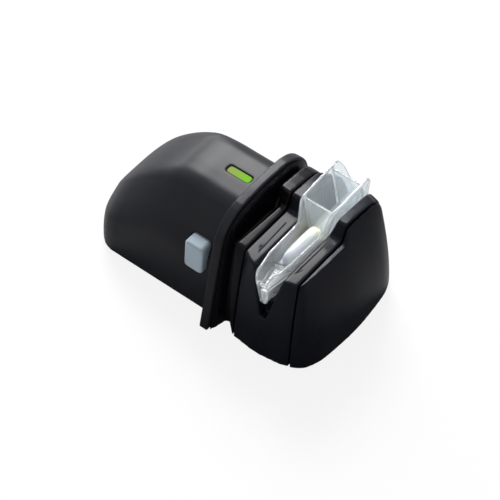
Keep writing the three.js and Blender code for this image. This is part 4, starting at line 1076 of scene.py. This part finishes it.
@dataclass
class HeadForm:
    """The smooth outside of the head: its bowed front and sides, and the crowned high step.

    Attributes:
        rear: the head's rear plane.
        foot: the level its sides start from.
        low: the low step's level over the foot.
        high: the high step's level over the foot.
        half: half its width at the foot and at the low step.
        depth: its depth at the foot and at the low step.
        powers: how the width and the depth go over from the one to the other.
        foot_plan: the plan outline at the foot, as shares of half width and depth.
        step_plan: the plan outline at the low step.
        shoulder: where the high side's shoulder starts, its rise and how round it is.
        least: the least share of the width that is left over the shoulder.
        crown: how far the high step drops over the half width at the low step.
        ramp: where the high step starts.
        steps: how many levels the sides have up to the shoulder and over it, and how many
            steps the crown has along X and along Y.
        per: how many steps there are between two points of the plan outline.
    """

    rear: float = -30.25 * MM
    foot: float = 0.8 * MM
    low: float = 56.5 * MM
    high: float = 65.2 * MM
    half: tuple[float, float] = (42.2 * MM, 35.2 * MM)
    depth: tuple[float, float] = (45.2 * MM, 36 * MM)
    powers: tuple[float, float] = (1.4, 2.0)
    foot_plan: tuple[tuple[float, float], ...] = (
        (0.972, 0), (0.983, 0.106), (1, 0.257), (0.998, 0.392), (0.981, 0.518), (0.96, 0.637),
        (0.929, 0.717), (0.898, 0.783), (0.86, 0.836), (0.82, 0.874), (0.763, 0.903),
        (0.64, 0.947), (0.481, 0.971), (0.308, 0.986), (0.133, 0.997), (0, 1))
    step_plan: tuple[tuple[float, float], ...] = (
        (0.865, 0), (0.945, 0.125), (0.989, 0.25), (1, 0.48), (0.98, 0.67), (0.955, 0.8),
        (0.928, 0.885), (0.913, 0.918), (0.886, 0.941), (0.852, 0.957), (0.795, 0.966),
        (0.682, 0.977), (0.548, 0.985), (0.341, 0.992), (0.142, 0.997), (0, 1))
    shoulder: tuple[float, float, float] = (52 * MM, 14.2 * MM, 3.0)
    least: float = 0.05
    crown: float = 5.6 * MM
    ramp: float = 5.6 * MM
    steps: tuple[int, int, int, int] = (30, 16, 30, 12)
    per: int = 4

    def outline(self, z: float) -> list[tuple[float, float]]:
        """Gives the plan outline at a height over the foot, from right round to left.

        Args:
            z: the height over the foot.

        Returns:
            The outline's points.
        """
        share = z / self.low
        right = []
        for (foot_x, foot_y), (step_x, step_y) in zip(self.foot_plan, self.step_plan):
            x = mix(foot_x * self.half[0], step_x * self.half[1], share ** self.powers[0])
            depth = mix(foot_y * self.depth[0], step_y * self.depth[1], share ** self.powers[1])
            right.append((x, self.rear - depth))
        start, rise, power = self.shoulder
        kept = max(self.least, left_after((z - start) / rise, power))
        both = [(x * kept, y) for x, y in right] + [(-x, y) for x, y in reversed(right[:-1])]
        return smooth_line(both, self.per)

    def build(self) -> bmesh.types.BMesh:
        """Builds the form.

        Returns:
            The form's open surface.
        """
        mesh = bmesh.new()
        straight, over, across, along = self.steps
        start, rise, _ = self.shoulder
        levels = [start * i / straight for i in range(straight)]
        levels += [start + rise * math.sin(math.pi / 2 * i / over) for i in range(over)]
        skin(mesh, [[Vector((x, y, self.foot + z)) for x, y in self.outline(z)] for z in levels])
        rows = []
        for i in range(across + 1):
            x = mix(self.ramp, self.half[1], i / across)
            z = self.foot + self.high - self.crown * (x / self.half[1]) ** 2
            rows.append([Vector((x, self.rear - self.depth[0] * j / along, z))
                         for j in range(along + 1)])
        skin(mesh, rows)
        return mesh


@dataclass(frozen=True)
class WindowCorners:
    """The window's round ends drawn out into corners, in the lens and in the hole it fills.

    Attributes:
        half: half the window's width, which is the radius of its round ends.
        ends: where its two ends lie along Y.
        level: the level above which the hole lies.
        square: how far the round ends are drawn out, from 0 to 1.
        ring: the least and greatest distance of the points of an end, as shares of half.
    """

    half: float = 2.5 * MM
    ends: tuple[float, float] = (-9.55 * MM, 4.75 * MM)
    level: float = 58 * MM
    square: float = 0.45
    ring: tuple[float, float] = (0.8, 1.25)

    def change(self, mesh: bmesh.types.BMesh) -> None:
        """Draws the corners out.

        Args:
            mesh: the copy of the node, changed in place.
        """
        low, high = self.ends
        near, far = (share * self.half for share in self.ring)
        for vert in mesh.verts:
            x, y, z = vert.co
            if z < self.level or abs(x) > 1.5 * self.half:
                continue
            if low - self.half / 2 < y < low + self.half:
                middle = low + self.half
            elif high - self.half < y < high + self.half / 2:
                middle = high - self.half
            else:
                continue
            away = math.hypot(x, y - middle)
            if near < away < far:
                more = mix(1.0, away / max(abs(x), abs(y - middle)), self.square)
                vert.co.x, vert.co.y = x * more, middle + (y - middle) * more


@dataclass(frozen=True)
class Parting:
    """The dark line where a moulding meets its neighbour.

    Attributes:
        plane: the plane where they meet, along Y.
        back: how far the moulding stands back from there.
        near: how close to the plane the points lie that stand back.
    """

    plane: float
    back: float
    near: float = 0.3 * MM

    def change(self, mesh: bmesh.types.BMesh) -> None:
        """Moves the moulding's rim back."""
        rim = [vert for vert in mesh.verts if abs(vert.co.y - self.plane) < self.near]
        bmesh.ops.translate(mesh, vec=Vector((0, self.back, 0)), verts=rim)


@dataclass(frozen=True)
class Strip:
    """The strip beside a parting line, made wide and level.

    Attributes:
        start: where it starts, along Y.
        end: where its effect ends.
        level: the level it lies above.
        wider: how far its start moves towards its end.
        lift: how far it is raised.
        raised: the share of its length that is raised.
    """

    start: float
    end: float
    level: float
    wider: float
    lift: float
    raised: float = 0.6

    def change(self, mesh: bmesh.types.BMesh) -> None:
        """Widens and levels the strip.

        Args:
            mesh: the copy of the node, changed in place.
        """
        for vert in mesh.verts:
            if self.start < vert.co.y < self.end:
                if vert.co.z > self.level and vert.co.y < mix(self.start, self.end, self.raised):
                    vert.co.z += self.lift
                vert.co.y += self.wider * (self.end - vert.co.y) / (self.end - self.start)


@dataclass
class Moulding:
    """A moulded part that is a refined copy of its node.

    Attributes:
        node: the node it stands for.
        piece: the piece's name.
        slot: the record's material slot, which is not used.
        finish: its finish.
        rounding: how its corners are rounded, or how it is cast anew.
        changes: what is changed on the copy before that.
        body: the body it rides on.
        form: makes the smooth form that its outside settles on.
    """

    node: str
    piece: str
    slot: str
    finish: Finish
    rounding: Rounding | Softening
    changes: tuple[WindowCorners | Parting | Strip, ...] = ()
    body: Body = Body.HOUSING
    form: Callable[[], bmesh.types.BMesh] | None = None

    def build(self) -> None:
        """Builds the piece."""
        soft = self.rounding if isinstance(self.rounding, Softening) else None
        mesh = merged_copy(self.node, joined=not soft)
        for step in self.changes:
            step.change(mesh)
        if not soft:
            round_corners(mesh, self.rounding)
        finish_piece(self.piece, mesh, finished(self.finish), self.body,
                     (self.node,), soft, self.form() if self.form else None)


@dataclass
class Shells:
    """The moulded shells that the hand and the eye meet.

    Attributes:
        mouldings: the mouldings, in order of making.
    """

    mouldings: list[Moulding] = field(default_factory=lambda: [
        Moulding("rear_housing", "housing_moulding", "dome_plastic", DOME,
                 Softening(0.5 * MM, 8, 0.4, 0.95 * MM), (WindowCorners(),),
                 form=DomeForm().build),
        Moulding("neck_cover", "neck_moulding", "head_plastic", NECK,
                 Softening(0.4 * MM, 16, 0.6),
                 (Parting(-30.05 * MM, 0.35 * MM),
                  Strip(-29.0 * MM, -20.25 * MM, 55.9 * MM, 2.1 * MM, 0.55 * MM))),
        Moulding("head_body", "head_moulding", "head_plastic", HEAD,
                 Softening(0.5 * MM, 12, 0.5), form=HeadForm().build),
        Moulding("front_cap", "front_moulding", "head_plastic", HEAD,
                 Softening(0.4 * MM, 9, 0.6), (Parting(-62.75 * MM, -0.4 * MM),),
                 form=HeadForm().build),
        Moulding("power_button", "button_moulding", "button_plastic", BUTTON,
                 Rounding(0.3 * MM), body=Body.BUTTON),
        Moulding("indicator_lens", "window_moulding", "lens_plastic", WINDOW,
                 Rounding(0.25 * MM, corner=50.0), (WindowCorners(),)),
    ])

    def build(self) -> None:
        """Builds every moulding."""
        for moulding in self.mouldings:
            moulding.build()


@dataclass
class BladeGuide:
    """The clear trough that holds the blade upright over the wheel.

    It is a pair of thin flared walls, low at one end and high at the other, with a floor, a
    tongue at each end, two webs and low ribs between them.

    Attributes:
        left: its low end, where the blade's heel starts.
        right: its high end.
        centre: the middle of the slot, along Y.
        floor: the top of its floor.
        floor_thick: the floor's thickness.
        foot: the level its walls reach down to.
        over_wheel: the level its walls start from beside the wheel.
        datum: the level at which its half widths are given.
        slope: how far the walls lean out per unit of height.
        foot_half: the least half width at the foot.
        wall: the thickness of its walls.
        high: the height that the side view's shares refer to.
        plan_rear: half width of the rear wall from the low end to the high one.
        plan_front: half width of the front wall.
        wheel: the wheel's middle along X and the half length of the opening in the floor.
        beside: how far past the opening the walls keep off the wheel.
        jump: how far apart the two columns stand where the walls' foot changes level.
        inset: how far inside the walls' ends the floor ends.
        corner: how far the tongue's lower corners are cut.
        webs: the stations of the two webs.
        web_thick: their thickness.
        web_drop: how far they stay below the walls' rim.
        ribs: the stations of the low ribs across the floor, and their height.
        side: the walls' rim in side view, as shares of length and height.
    """

    left: float = -39.3 * MM
    right: float = 37.3 * MM
    centre: float = -47.35 * MM
    floor: float = 49.8 * MM
    floor_thick: float = 2 * MM
    foot: float = 39.4 * MM
    over_wheel: float = 48.8 * MM
    datum: float = 52.8 * MM
    slope: float = 0.193
    foot_half: float = 1.8 * MM
    wall: float = 1.4 * MM
    high: float = 25 * MM
    plan_rear: tuple[tuple[float, float], ...] = (
        (-39.3 * MM, 4.2 * MM), (-28.2 * MM, 4.8 * MM), (-25.8 * MM, 6 * MM), (30 * MM, 6 * MM),
        (37.3 * MM, 5.2 * MM))
    plan_front: tuple[tuple[float, float], ...] = (
        (-39.3 * MM, 3.1 * MM), (-25 * MM, 5.2 * MM), (-5 * MM, 6 * MM), (30 * MM, 6 * MM),
        (37.3 * MM, 5.2 * MM))
    wheel: tuple[float, float] = (-9.2 * MM, 12.2 * MM)
    beside: float = 3 * MM
    jump: float = 0.02 * MM
    inset: float = 0.2 * MM
    corner: float = 0.8 * MM
    webs: tuple[float, float] = (2.9 * MM, 24.6 * MM)
    web_thick: float = 1.1 * MM
    web_drop: float = 0.5 * MM
    ribs: tuple[tuple[float, ...], float] = (
        (-35.6 * MM, -33 * MM, -30.4 * MM, -27.8 * MM, -25.2 * MM, 5.6 * MM, 8.2 * MM), 1.1 * MM)
    side: tuple[tuple[float, float], ...] = (
        (0, 0.13), (0.004, 0.22), (0.016, 0.31), (0.036, 0.352), (0.07, 0.366),
        (0.18, 0.368), (0.2781, 0.372), (0.36, 0.379), (0.453, 0.388), (0.4687, 0.428),
        (0.485, 0.545), (0.502, 0.668), (0.5183, 0.788), (0.5313, 0.84), (0.5535, 0.876),
        (0.6, 0.889), (0.6436, 0.9), (0.71, 0.909), (0.7742, 0.916), (0.83, 0.922),
        (0.8838, 0.928), (0.9099, 0.904), (0.9282, 0.84), (0.9569, 0.656), (0.972, 0.475),
        (0.9856, 0.304), (1, 0.096))

    def across(self, x: float, z: float, way: int, inside: float = 0.0) -> float:
        """Gives how far a wall lies from the middle of the slot, less a distance.

        Args:
            x: the station.
            z: the level.
            way: 1 for the rear wall, -1 for the front one.
            inside: what is taken off.

        Returns:
            The distance, which has the sign of the way.
        """
        plan = along_line(self.plan_rear if way > 0 else self.plan_front, x)
        half = max(self.foot_half, plan + self.slope * (z - self.datum))
        return way * (half - inside)

    def row(self, x: float, points: Sequence[tuple[int, float, float]]) -> list[Vector]:
        """Gives points of the walls at a station, each from its way, level and inside."""
        return [Vector((x, self.centre + self.across(x, z, way, inside), z))
                for way, z, inside in points]

    def rim(self, x: float) -> float:
        """Gives the level of the walls' rim at a station."""
        share = (x - self.left) / (self.right - self.left)
        return self.floor + self.high * along_line(self.side, share)

    def bottom(self, x: float) -> float:
        """Gives the level that the walls reach down to at a station."""
        middle, gap = self.wheel
        return self.over_wheel if abs(x - middle) < gap + self.beside else self.foot

    def stations(self) -> list[float]:
        """Gives the stations of the walls' columns.

        Returns:
            The stations, in rising order.
        """
        middle, gap = self.wheel
        marks = [mix(self.left, self.right, share) for share, _ in self.side]
        marks += [middle + way * (gap + self.beside + step) for way in (-1, 1)
                  for step in (-self.jump / 2, self.jump / 2)]
        return sorted(marks)

    def add_wall(self, mesh: bmesh.types.BMesh, way: int) -> None:
        """Adds one wall as a closed body of even thickness.

        Args:
            mesh: the mesh that gets it.
            way: 1 for the rear wall, -1 for the front one.
        """
        rows = 8
        columns = []
        for x in self.stations():
            low, high = self.bottom(x), self.rim(x)
            levels = [mix(low, high, i / rows) for i in range(rows + 1)]
            columns.append(self.row(x, [(way, z, 0.0) for z in levels]
                                    + [(way, z, self.wall) for z in reversed(levels)]))
        skin(mesh, columns, closed=True)

    def section(self, low: float, high: float) -> list[tuple[int, float, float]]:
        """Gives the corners of what stands between the walls, from a level up to another."""
        return [(way, z, self.wall / 2)
                for way, z in ((-1, low), (1, low), (1, high), (-1, high))]

    def add_web(self, mesh: bmesh.types.BMesh, x: float, top: float) -> None:
        """Adds a cross web from the floor's underside up to a level."""
        corners = self.section(self.floor - self.floor_thick, top)
        slab(mesh, self.row(x, corners), Vector((self.web_thick, 0, 0)))

    def add_floor(self, mesh: bmesh.types.BMesh, start: float, end: float) -> None:
        """Adds a length of the floor between two stations.

        Its sides follow the walls at the level of its underside.

        Args:
            mesh: the mesh that gets it.
            start: the station where it starts.
            end: the station where it ends.
        """
        steps = 6
        low, high = self.floor - self.floor_thick, self.floor
        rows = []
        for i in range(steps + 1):
            x = mix(start, end, i / steps)
            rows.append([Vector((x, self.centre + self.across(x, low, way, inside), z))
                         for way, z, inside in self.section(low, high)])
        skin(mesh, rows, closed=True)

    def add_tongue(self, mesh: bmesh.types.BMesh, x: float) -> None:
        """Adds the plate that closes an end, from the foot to a little above the floor.

        Args:
            mesh: the mesh that gets it.
            x: the station of its face at the low side.
        """
        top = self.floor + self.high * self.side[0][1]
        over = self.foot + self.corner
        corners = [(-1, self.foot, self.corner), (1, self.foot, self.corner), (1, over, 0.0),
                   (1, self.floor, 0.0), (1, top, 0.0), (-1, top, 0.0), (-1, self.floor, 0.0),
                   (-1, over, 0.0)]
        slab(mesh, self.row(x, corners), Vector((self.wall, 0, 0)))

    def build(self) -> None:
        """Builds the guide as one piece."""
        mesh = bmesh.new()
        for way in (-1, 1):
            self.add_wall(mesh, way)
        middle, gap = self.wheel
        self.add_floor(mesh, self.left + self.inset, middle - gap)
        self.add_floor(mesh, middle + gap, self.right - self.inset)
        for x in self.webs:
            self.add_web(mesh, x, self.rim(x) - self.web_drop)
        stations, high = self.ribs
        for x in stations:
            self.add_web(mesh, x, self.floor + high)
        self.add_tongue(mesh, self.left)
        self.add_tongue(mesh, self.right - self.wall)
        bmesh.ops.holes_fill(mesh, edges=mesh.edges)
        bmesh.ops.recalc_face_normals(mesh, faces=mesh.faces)
        finish_piece("guide_moulding", mesh, finished(CLEAR), Body.GUIDE,
                     ("knife_guide",), Softening(0.3 * MM, 10, 0.5))


@dataclass
class WheelCover:
    """The milky cover over the rim of the wheel, which parts the trough into two lanes.

    Attributes:
        middle: its middle along X.
        centre: its middle along Y.
        half_long: half its length.
        half_wide: half its width.
        lip: half the length and width of the thin lip round its foot.
        foot: the level it stands on.
        top: its highest level.
        wall: its thickness.
        square: how square its plan is, 2 being round.
        section: the powers that fill out its section's width and its height.
        end: the share of the height that is left at its two ends.
        run: the share of the half length that its rings reach.
        rings: how many steps it has along its length.
        steps: how many steps each ring has.
    """

    middle: float = -9.2 * MM
    centre: float = -47.35 * MM
    half_long: float = 12.4 * MM
    half_wide: float = 3.6 * MM
    lip: tuple[float, float] = (13.1 * MM, 3.7 * MM)
    foot: float = 50.6 * MM
    top: float = 56.8 * MM
    wall: float = 0.8 * MM
    square: float = 4.2
    section: tuple[float, float] = (0.62, 0.8)
    end: float = 0.3
    run: float = 0.995
    rings: int = 24
    steps: int = 16

    def ring(self, x: float, left: float, tall: float) -> list[Vector]:
        """Gives the points across the cover at a station.

        Args:
            x: the station.
            left: the share of the half width there.
            tall: the share of the height there.

        Returns:
            The points, from lip to lip.
        """
        breadth, height = self.section
        wide_lip = self.lip[1]
        points = [Vector((x, self.centre + wide_lip, self.foot))]
        for j in range(self.steps + 1):
            angle = math.pi * j / self.steps
            side = math.copysign(abs(math.cos(angle)) ** breadth, math.cos(angle))
            rise = math.sin(angle) ** height * tall
            points.append(Vector((x, self.centre + side * self.half_wide * left,
                                  mix(self.foot, self.top, rise))))
        points.append(Vector((x, self.centre - wide_lip, self.foot)))
        return points

    def build(self) -> None:
        """Builds the cover as one piece, with a flat ring for the lip before and after."""
        mesh = bmesh.new()
        rows = []
        for i in range(-1, self.rings + 2):
            turn = mix(-math.pi / 2, math.pi / 2, max(0, min(self.rings, i)) / self.rings)
            share = math.sin(turn) * self.run
            left = (1 - abs(share) ** self.square) ** (1 / self.square)
            if 0 <= i <= self.rings:
                rows.append(self.ring(self.middle + share * self.half_long, left,
                                      mix(self.end, 1.0, left)))
            else:
                rows.append(self.ring(self.middle + math.copysign(self.lip[0], share), left, 0.0))
        skin(mesh, rows)
        bmesh.ops.recalc_face_normals(mesh, faces=mesh.faces)
        piece = finish_piece("cover_moulding", mesh, finished(CREAM), Body.GUIDE,
                             ("wheel_cover",))
        thick = piece.modifiers.new("wall", "SOLIDIFY")
        thick.thickness = self.wall
        thick.offset = -1.0


@dataclass
class ArrowMarks:
    """The two thin arrows on the low step, one each side of the slot.

    Attributes:
        lines: each arrow's tail and tip, along X and Y.
        barb: the length of the half head, and its reach away from the slot.
        neck: where the half head leaves the line, in widths of the line from the tip.
        wide: the width of the lines.
        centre: the middle of the slot, along Y.
        level: the step's level.
        thick: how thick the mark is.
        proud: how far it stands above the step.
    """

    lines: tuple[tuple[float, float, float, float], ...] = (
        (-5.4 * MM, -35.2 * MM, -28.2 * MM, -36.0 * MM),
        (-5.1 * MM, -57.5 * MM, -27.8 * MM, -56.9 * MM))
    barb: tuple[float, float] = (4 * MM, 1.9 * MM)
    neck: float = 3
    wide: float = 0.55 * MM
    centre: float = -47.35 * MM
    level: float = 57.3 * MM
    thick: float = 0.3 * MM
    proud: float = 0.09 * MM

    def build(self) -> None:
        """Builds the arrows."""
        long, reach = self.barb
        z = self.level + self.proud
        for number, (tail, tail_y, tip, tip_y) in enumerate(self.lines, start=1):
            mesh = bmesh.new()
            way = 1 if tail_y > self.centre else -1
            line = ((tip, tip_y), (tail, tail_y))
            leave = tip + self.neck * self.wide
            head, neck = along_line(line, tip + long), along_line(line, leave)
            outline = [(tip, tip_y), (tip + long, head + way * reach),
                       (tip + long + self.wide, head + way * (reach - self.wide / 2)),
                       (leave, neck + way * self.wide), (tail, tail_y + way * self.wide),
                       (tail, tail_y)]
            slab(mesh, [Vector((x, y, z)) for x, y in outline], Vector((0, 0, -self.thick)))
            bmesh.ops.recalc_face_normals(mesh, faces=mesh.faces)
            finish_piece(f"arrow_mark_{number}", mesh, finished(MARK), Body.HOUSING)


@dataclass
class Drive:
    """The grinding wheel, its shaft and bushes, the gears and the motor.

    Attributes:
        steel: the nodes of steel.
        bronze: the nodes of bronze.
    """

    steel: tuple[str, ...] = ("wheel_hub", "wheel_nut", "wheel_shaft", "motor_shaft",
                              "motor_bracket", "motor_screw_1", "motor_screw_2")
    bronze: tuple[str, ...] = ("front_bearing", "rear_bearing", "motor_pinion")

    def build(self) -> None:
        """Finishes the drive's nodes."""
        dress(("grinding_wheel",), GRIT)
        dress(self.steel, STEEL)
        dress(self.bronze, BRONZE)
        dress(("drive_gear", "switch_plunger"), NYLON)
        dress(("motor_can",), CAN)
        dress(("motor_rotor",), CORE)


@dataclass
class Power:
    """The cells, their bay and contacts, the switch and the circuit board.

    Attributes:
        cells: how many cells there are.
        band: the length of the band at a cell's nub end.
        end: the length of bare metal at a cell's ends.
        colours: the colours of a cell's sleeve and of its band.
    """

    cells: int = 4
    band: float = 14 * MM
    end: float = 1.2 * MM
    colours: tuple[Colour, Colour] = (linear(46, 48, 52), linear(190, 132, 52))

    def build(self) -> None:
        """Finishes the power nodes."""
        dress(("battery_bay", "motor_end_cap", "switch_body"), INNER)
        dress(("contact_front", "contact_rear"), STEEL)
        dress((f"contact_spring_{n}" for n in range(1, self.cells + 1)), STEEL)
        for number in range(1, self.cells + 1):
            self.finish_cell(number)
        dress(("circuit_board",), BOARD)
        dress(("indicator_led",), WINDOW)

    def finish_cell(self, number: int) -> None:
        """Finishes one cell, whose nub is at the +Y end where its number is odd.

        Args:
            number: the cell's number, from 1.
        """
        node = f"battery_cell_{number}"
        low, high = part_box(node)
        way = 1 if number % 2 else -1
        station = high.y - self.band if way > 0 else low.y + self.band
        dress((node,), CellSleeve(f"sleeve_finish_{number}", *self.colours, station, way,
                                  (low.y + self.end, high.y - self.end)))


@dataclass
class Underside:
    """The two base plates, the battery door, the feet and the screws.

    Attributes:
        feet: how many feet there are.
        screws: how many screws there are.
    """

    feet: int = 4
    screws: int = 4

    def build(self) -> None:
        """Finishes the nodes of the underside."""
        dress(("base_plate", "head_base", "battery_door"), BASE)
        dress((f"rubber_foot_{n}" for n in range(1, self.feet + 1)), RUBBER)
        dress((f"base_screw_{n}" for n in range(1, self.screws + 1)), STEEL)


# ---------------------------------------------------------------- studio


@dataclass(frozen=True)
class SoftBox:
    """A square area lamp that looks at the target.

    Attributes:
        name: its name.
        power: its power in watts.
        side: the length of its side.
        turn: its heading in degrees, from the camera's heading on.
        elevation: its height above the horizon in degrees.
        distance: how far it stands from the target.
    """

    name: str
    power: float
    side: float
    turn: float
    elevation: float
    distance: float


@dataclass
class Studio:
    """Floor, world, soft boxes and the camera.

    Attributes:
        azimuth: the camera's heading in degrees, 0 looking along +Y.
        elevation: its height above the horizon in degrees.
        distance: how far it stands from its target.
        target: what it looks at.
        focal: the focal length for a 36 mm wide picture.
        shift: the framing's shift.
        ambient: the world's strength for light that falls on the object.
        boxes: the soft box behind and above, which the level faces mirror, the large one low
            behind, which the slopes of the dome mirror, and the one beside the camera.
        floor_half: half the floor's side.
        paper: how bright the floor's paper is.
        lit: how much of the floor is white of itself where it is looked at, which leaves the
            rest for the object's shadow.
        dark: how much of the floor is dark where the object mirrors it.
    """

    azimuth: float = -51.77
    elevation: float = 50.45
    distance: float = 944.4 * MM
    target: Vector = field(default_factory=lambda: Vector((0.0, -18.25 * MM, 30.55 * MM)))
    focal: float = 138.53
    shift: tuple[float, float] = (-0.0311, -0.0303)
    ambient: float = 0.27
    boxes: tuple[SoftBox, ...] = (
        SoftBox("key_box", 16.5, 0.48, 183, 45.45, 1.2),
        SoftBox("back_box", 12.5, 1.1, 197, 20.0, 1.5),
        SoftBox("fill_box", 1.0, 0.7, -40, 35.0, 1.3))
    floor_half: float = 6.0
    paper: float = 0.94
    lit: float = 0.86
    dark: float = 0.58

    def heading(self, azimuth: float, elevation: float) -> Matrix:
        """Gives the turn of something that looks back at the object from a direction.

        Args:
            azimuth: the heading in degrees.
            elevation: the height in degrees.

        Returns:
            The 3 by 3 turn whose columns are right, up and back.
        """
        a, e = math.radians(azimuth), math.radians(elevation)
        right = Vector((math.cos(a), math.sin(a), 0.0))
        back = Vector((math.sin(a) * math.cos(e), -math.cos(a) * math.cos(e), math.sin(e)))
        return Matrix((right, back.cross(right), back)).transposed()

    def place(self, thing: bpy.types.Object, azimuth: float, elevation: float,
              distance: float) -> None:
        """Puts a lamp or a camera round the target and turns it there.

        Args:
            thing: the lamp or camera.
            azimuth: the heading in degrees.
            elevation: the height in degrees.
            distance: how far away it stands.
        """
        turn = self.heading(azimuth, elevation)
        where = self.target + turn.col[2] * distance
        bpy.context.scene.collection.objects.link(thing)
        thing.matrix_world = Matrix.Translation(where) @ turn.to_4x4()

    def add_box(self, box: SoftBox) -> None:
        """Adds a soft box.

        Args:
            box: what it is like and where it stands.
        """
        lamp = bpy.data.lights.new(box.name, "AREA")
        lamp.shape = "SQUARE"
        lamp.size = box.side
        lamp.energy = box.power
        self.place(bpy.data.objects.new(box.name, lamp), self.azimuth + box.turn,
                   box.elevation, box.distance)

    def camera(self) -> None:
        """Adds the camera."""
        data = bpy.data.cameras.new("photo_camera")
        data.sensor_fit = "HORIZONTAL"
        data.sensor_width = 36.0
        data.lens = self.focal
        data.shift_x, data.shift_y = self.shift
        data.clip_start = 10 * MM
        thing = bpy.data.objects.new("photo_camera", data)
        self.place(thing, self.azimuth, self.elevation, self.distance)
        bpy.context.scene.camera = thing

    def world(self) -> None:
        """Makes the world: white where it is seen, softer where it lights the object."""
        world = bpy.data.worlds.new("studio_world")
        world.use_nodes = True
        bpy.context.scene.world = world
        tree = Tree(world.node_tree)
        white = (1.0, 1.0, 1.0)
        soft, full = tree.add("ShaderNodeBackground"), tree.add("ShaderNodeBackground")
        tree.fill(soft, {"Color": white, "Strength": self.ambient})
        tree.fill(full, {"Color": white})
        seen = tree.math("MAXIMUM", tree.looked_at(), tree.mirrored())
        out = tree.add("ShaderNodeOutputWorld")
        tree.link(tree.blend(seen, soft, full).outputs[0], out.inputs["Surface"])

    def floor(self) -> None:
        """Adds the pale floor, which keeps the object's shadow and is clear from below."""
        mesh = bmesh.new()
        bmesh.ops.create_grid(mesh, x_segments=1, y_segments=1, size=self.floor_half)
        data = bpy.data.meshes.new("floor")
        mesh.to_mesh(data)
        mesh.free()
        thing = bpy.data.objects.new("floor", data)
        bpy.context.scene.collection.objects.link(thing)
        thing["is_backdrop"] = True
        material = bpy.data.materials.new("floor_paper")
        material.use_nodes = True
        tree = Tree(material.node_tree)
        paper, glow = tree.add("ShaderNodeBsdfDiffuse"), tree.add("ShaderNodeEmission")
        looked_at = tree.looked_at()
        tree.fill(paper, {"Color": (self.paper, self.paper, self.paper)})
        tree.fill(glow, {"Strength": looked_at})
        share = tree.math("MAXIMUM", tree.math("MULTIPLY", looked_at, self.lit),
                          tree.math("MULTIPLY", tree.mirrored(), self.dark))
        below = tree.add("ShaderNodeNewGeometry").outputs["Backfacing"]
        sided = tree.blend(below, tree.blend(share, paper, glow),
                           tree.add("ShaderNodeBsdfTransparent"))
        out = tree.add("ShaderNodeOutputMaterial")
        tree.link(sided.outputs[0], out.inputs["Surface"])
        data.materials.append(material)

    def build(self) -> None:
        """Builds the studio."""
        self.camera()
        self.world()
        self.floor()
        for box in self.boxes:
            self.add_box(box)
        bpy.context.scene.view_settings.view_transform = "Standard"


def corners(box: tuple[Vector, Vector]) -> list[list[float]]:
    """Gives a box's two corners as plain lists."""
    return [list(corner) for corner in box]


def main() -> None:
    logging.basicConfig(level=logging.INFO, format="%(message)s")
    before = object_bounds()
    for assembly in (Studio(), Shells(), BladeGuide(), WheelCover(), ArrowMarks(), Drive(),
                     Power(), Underside()):
        assembly.build()
        LOG.info("%s is built", type(assembly).__name__)
    {"cad_box": corners(before), "visual_box": corners(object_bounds())}


if __name__ == "__main__":
    main()
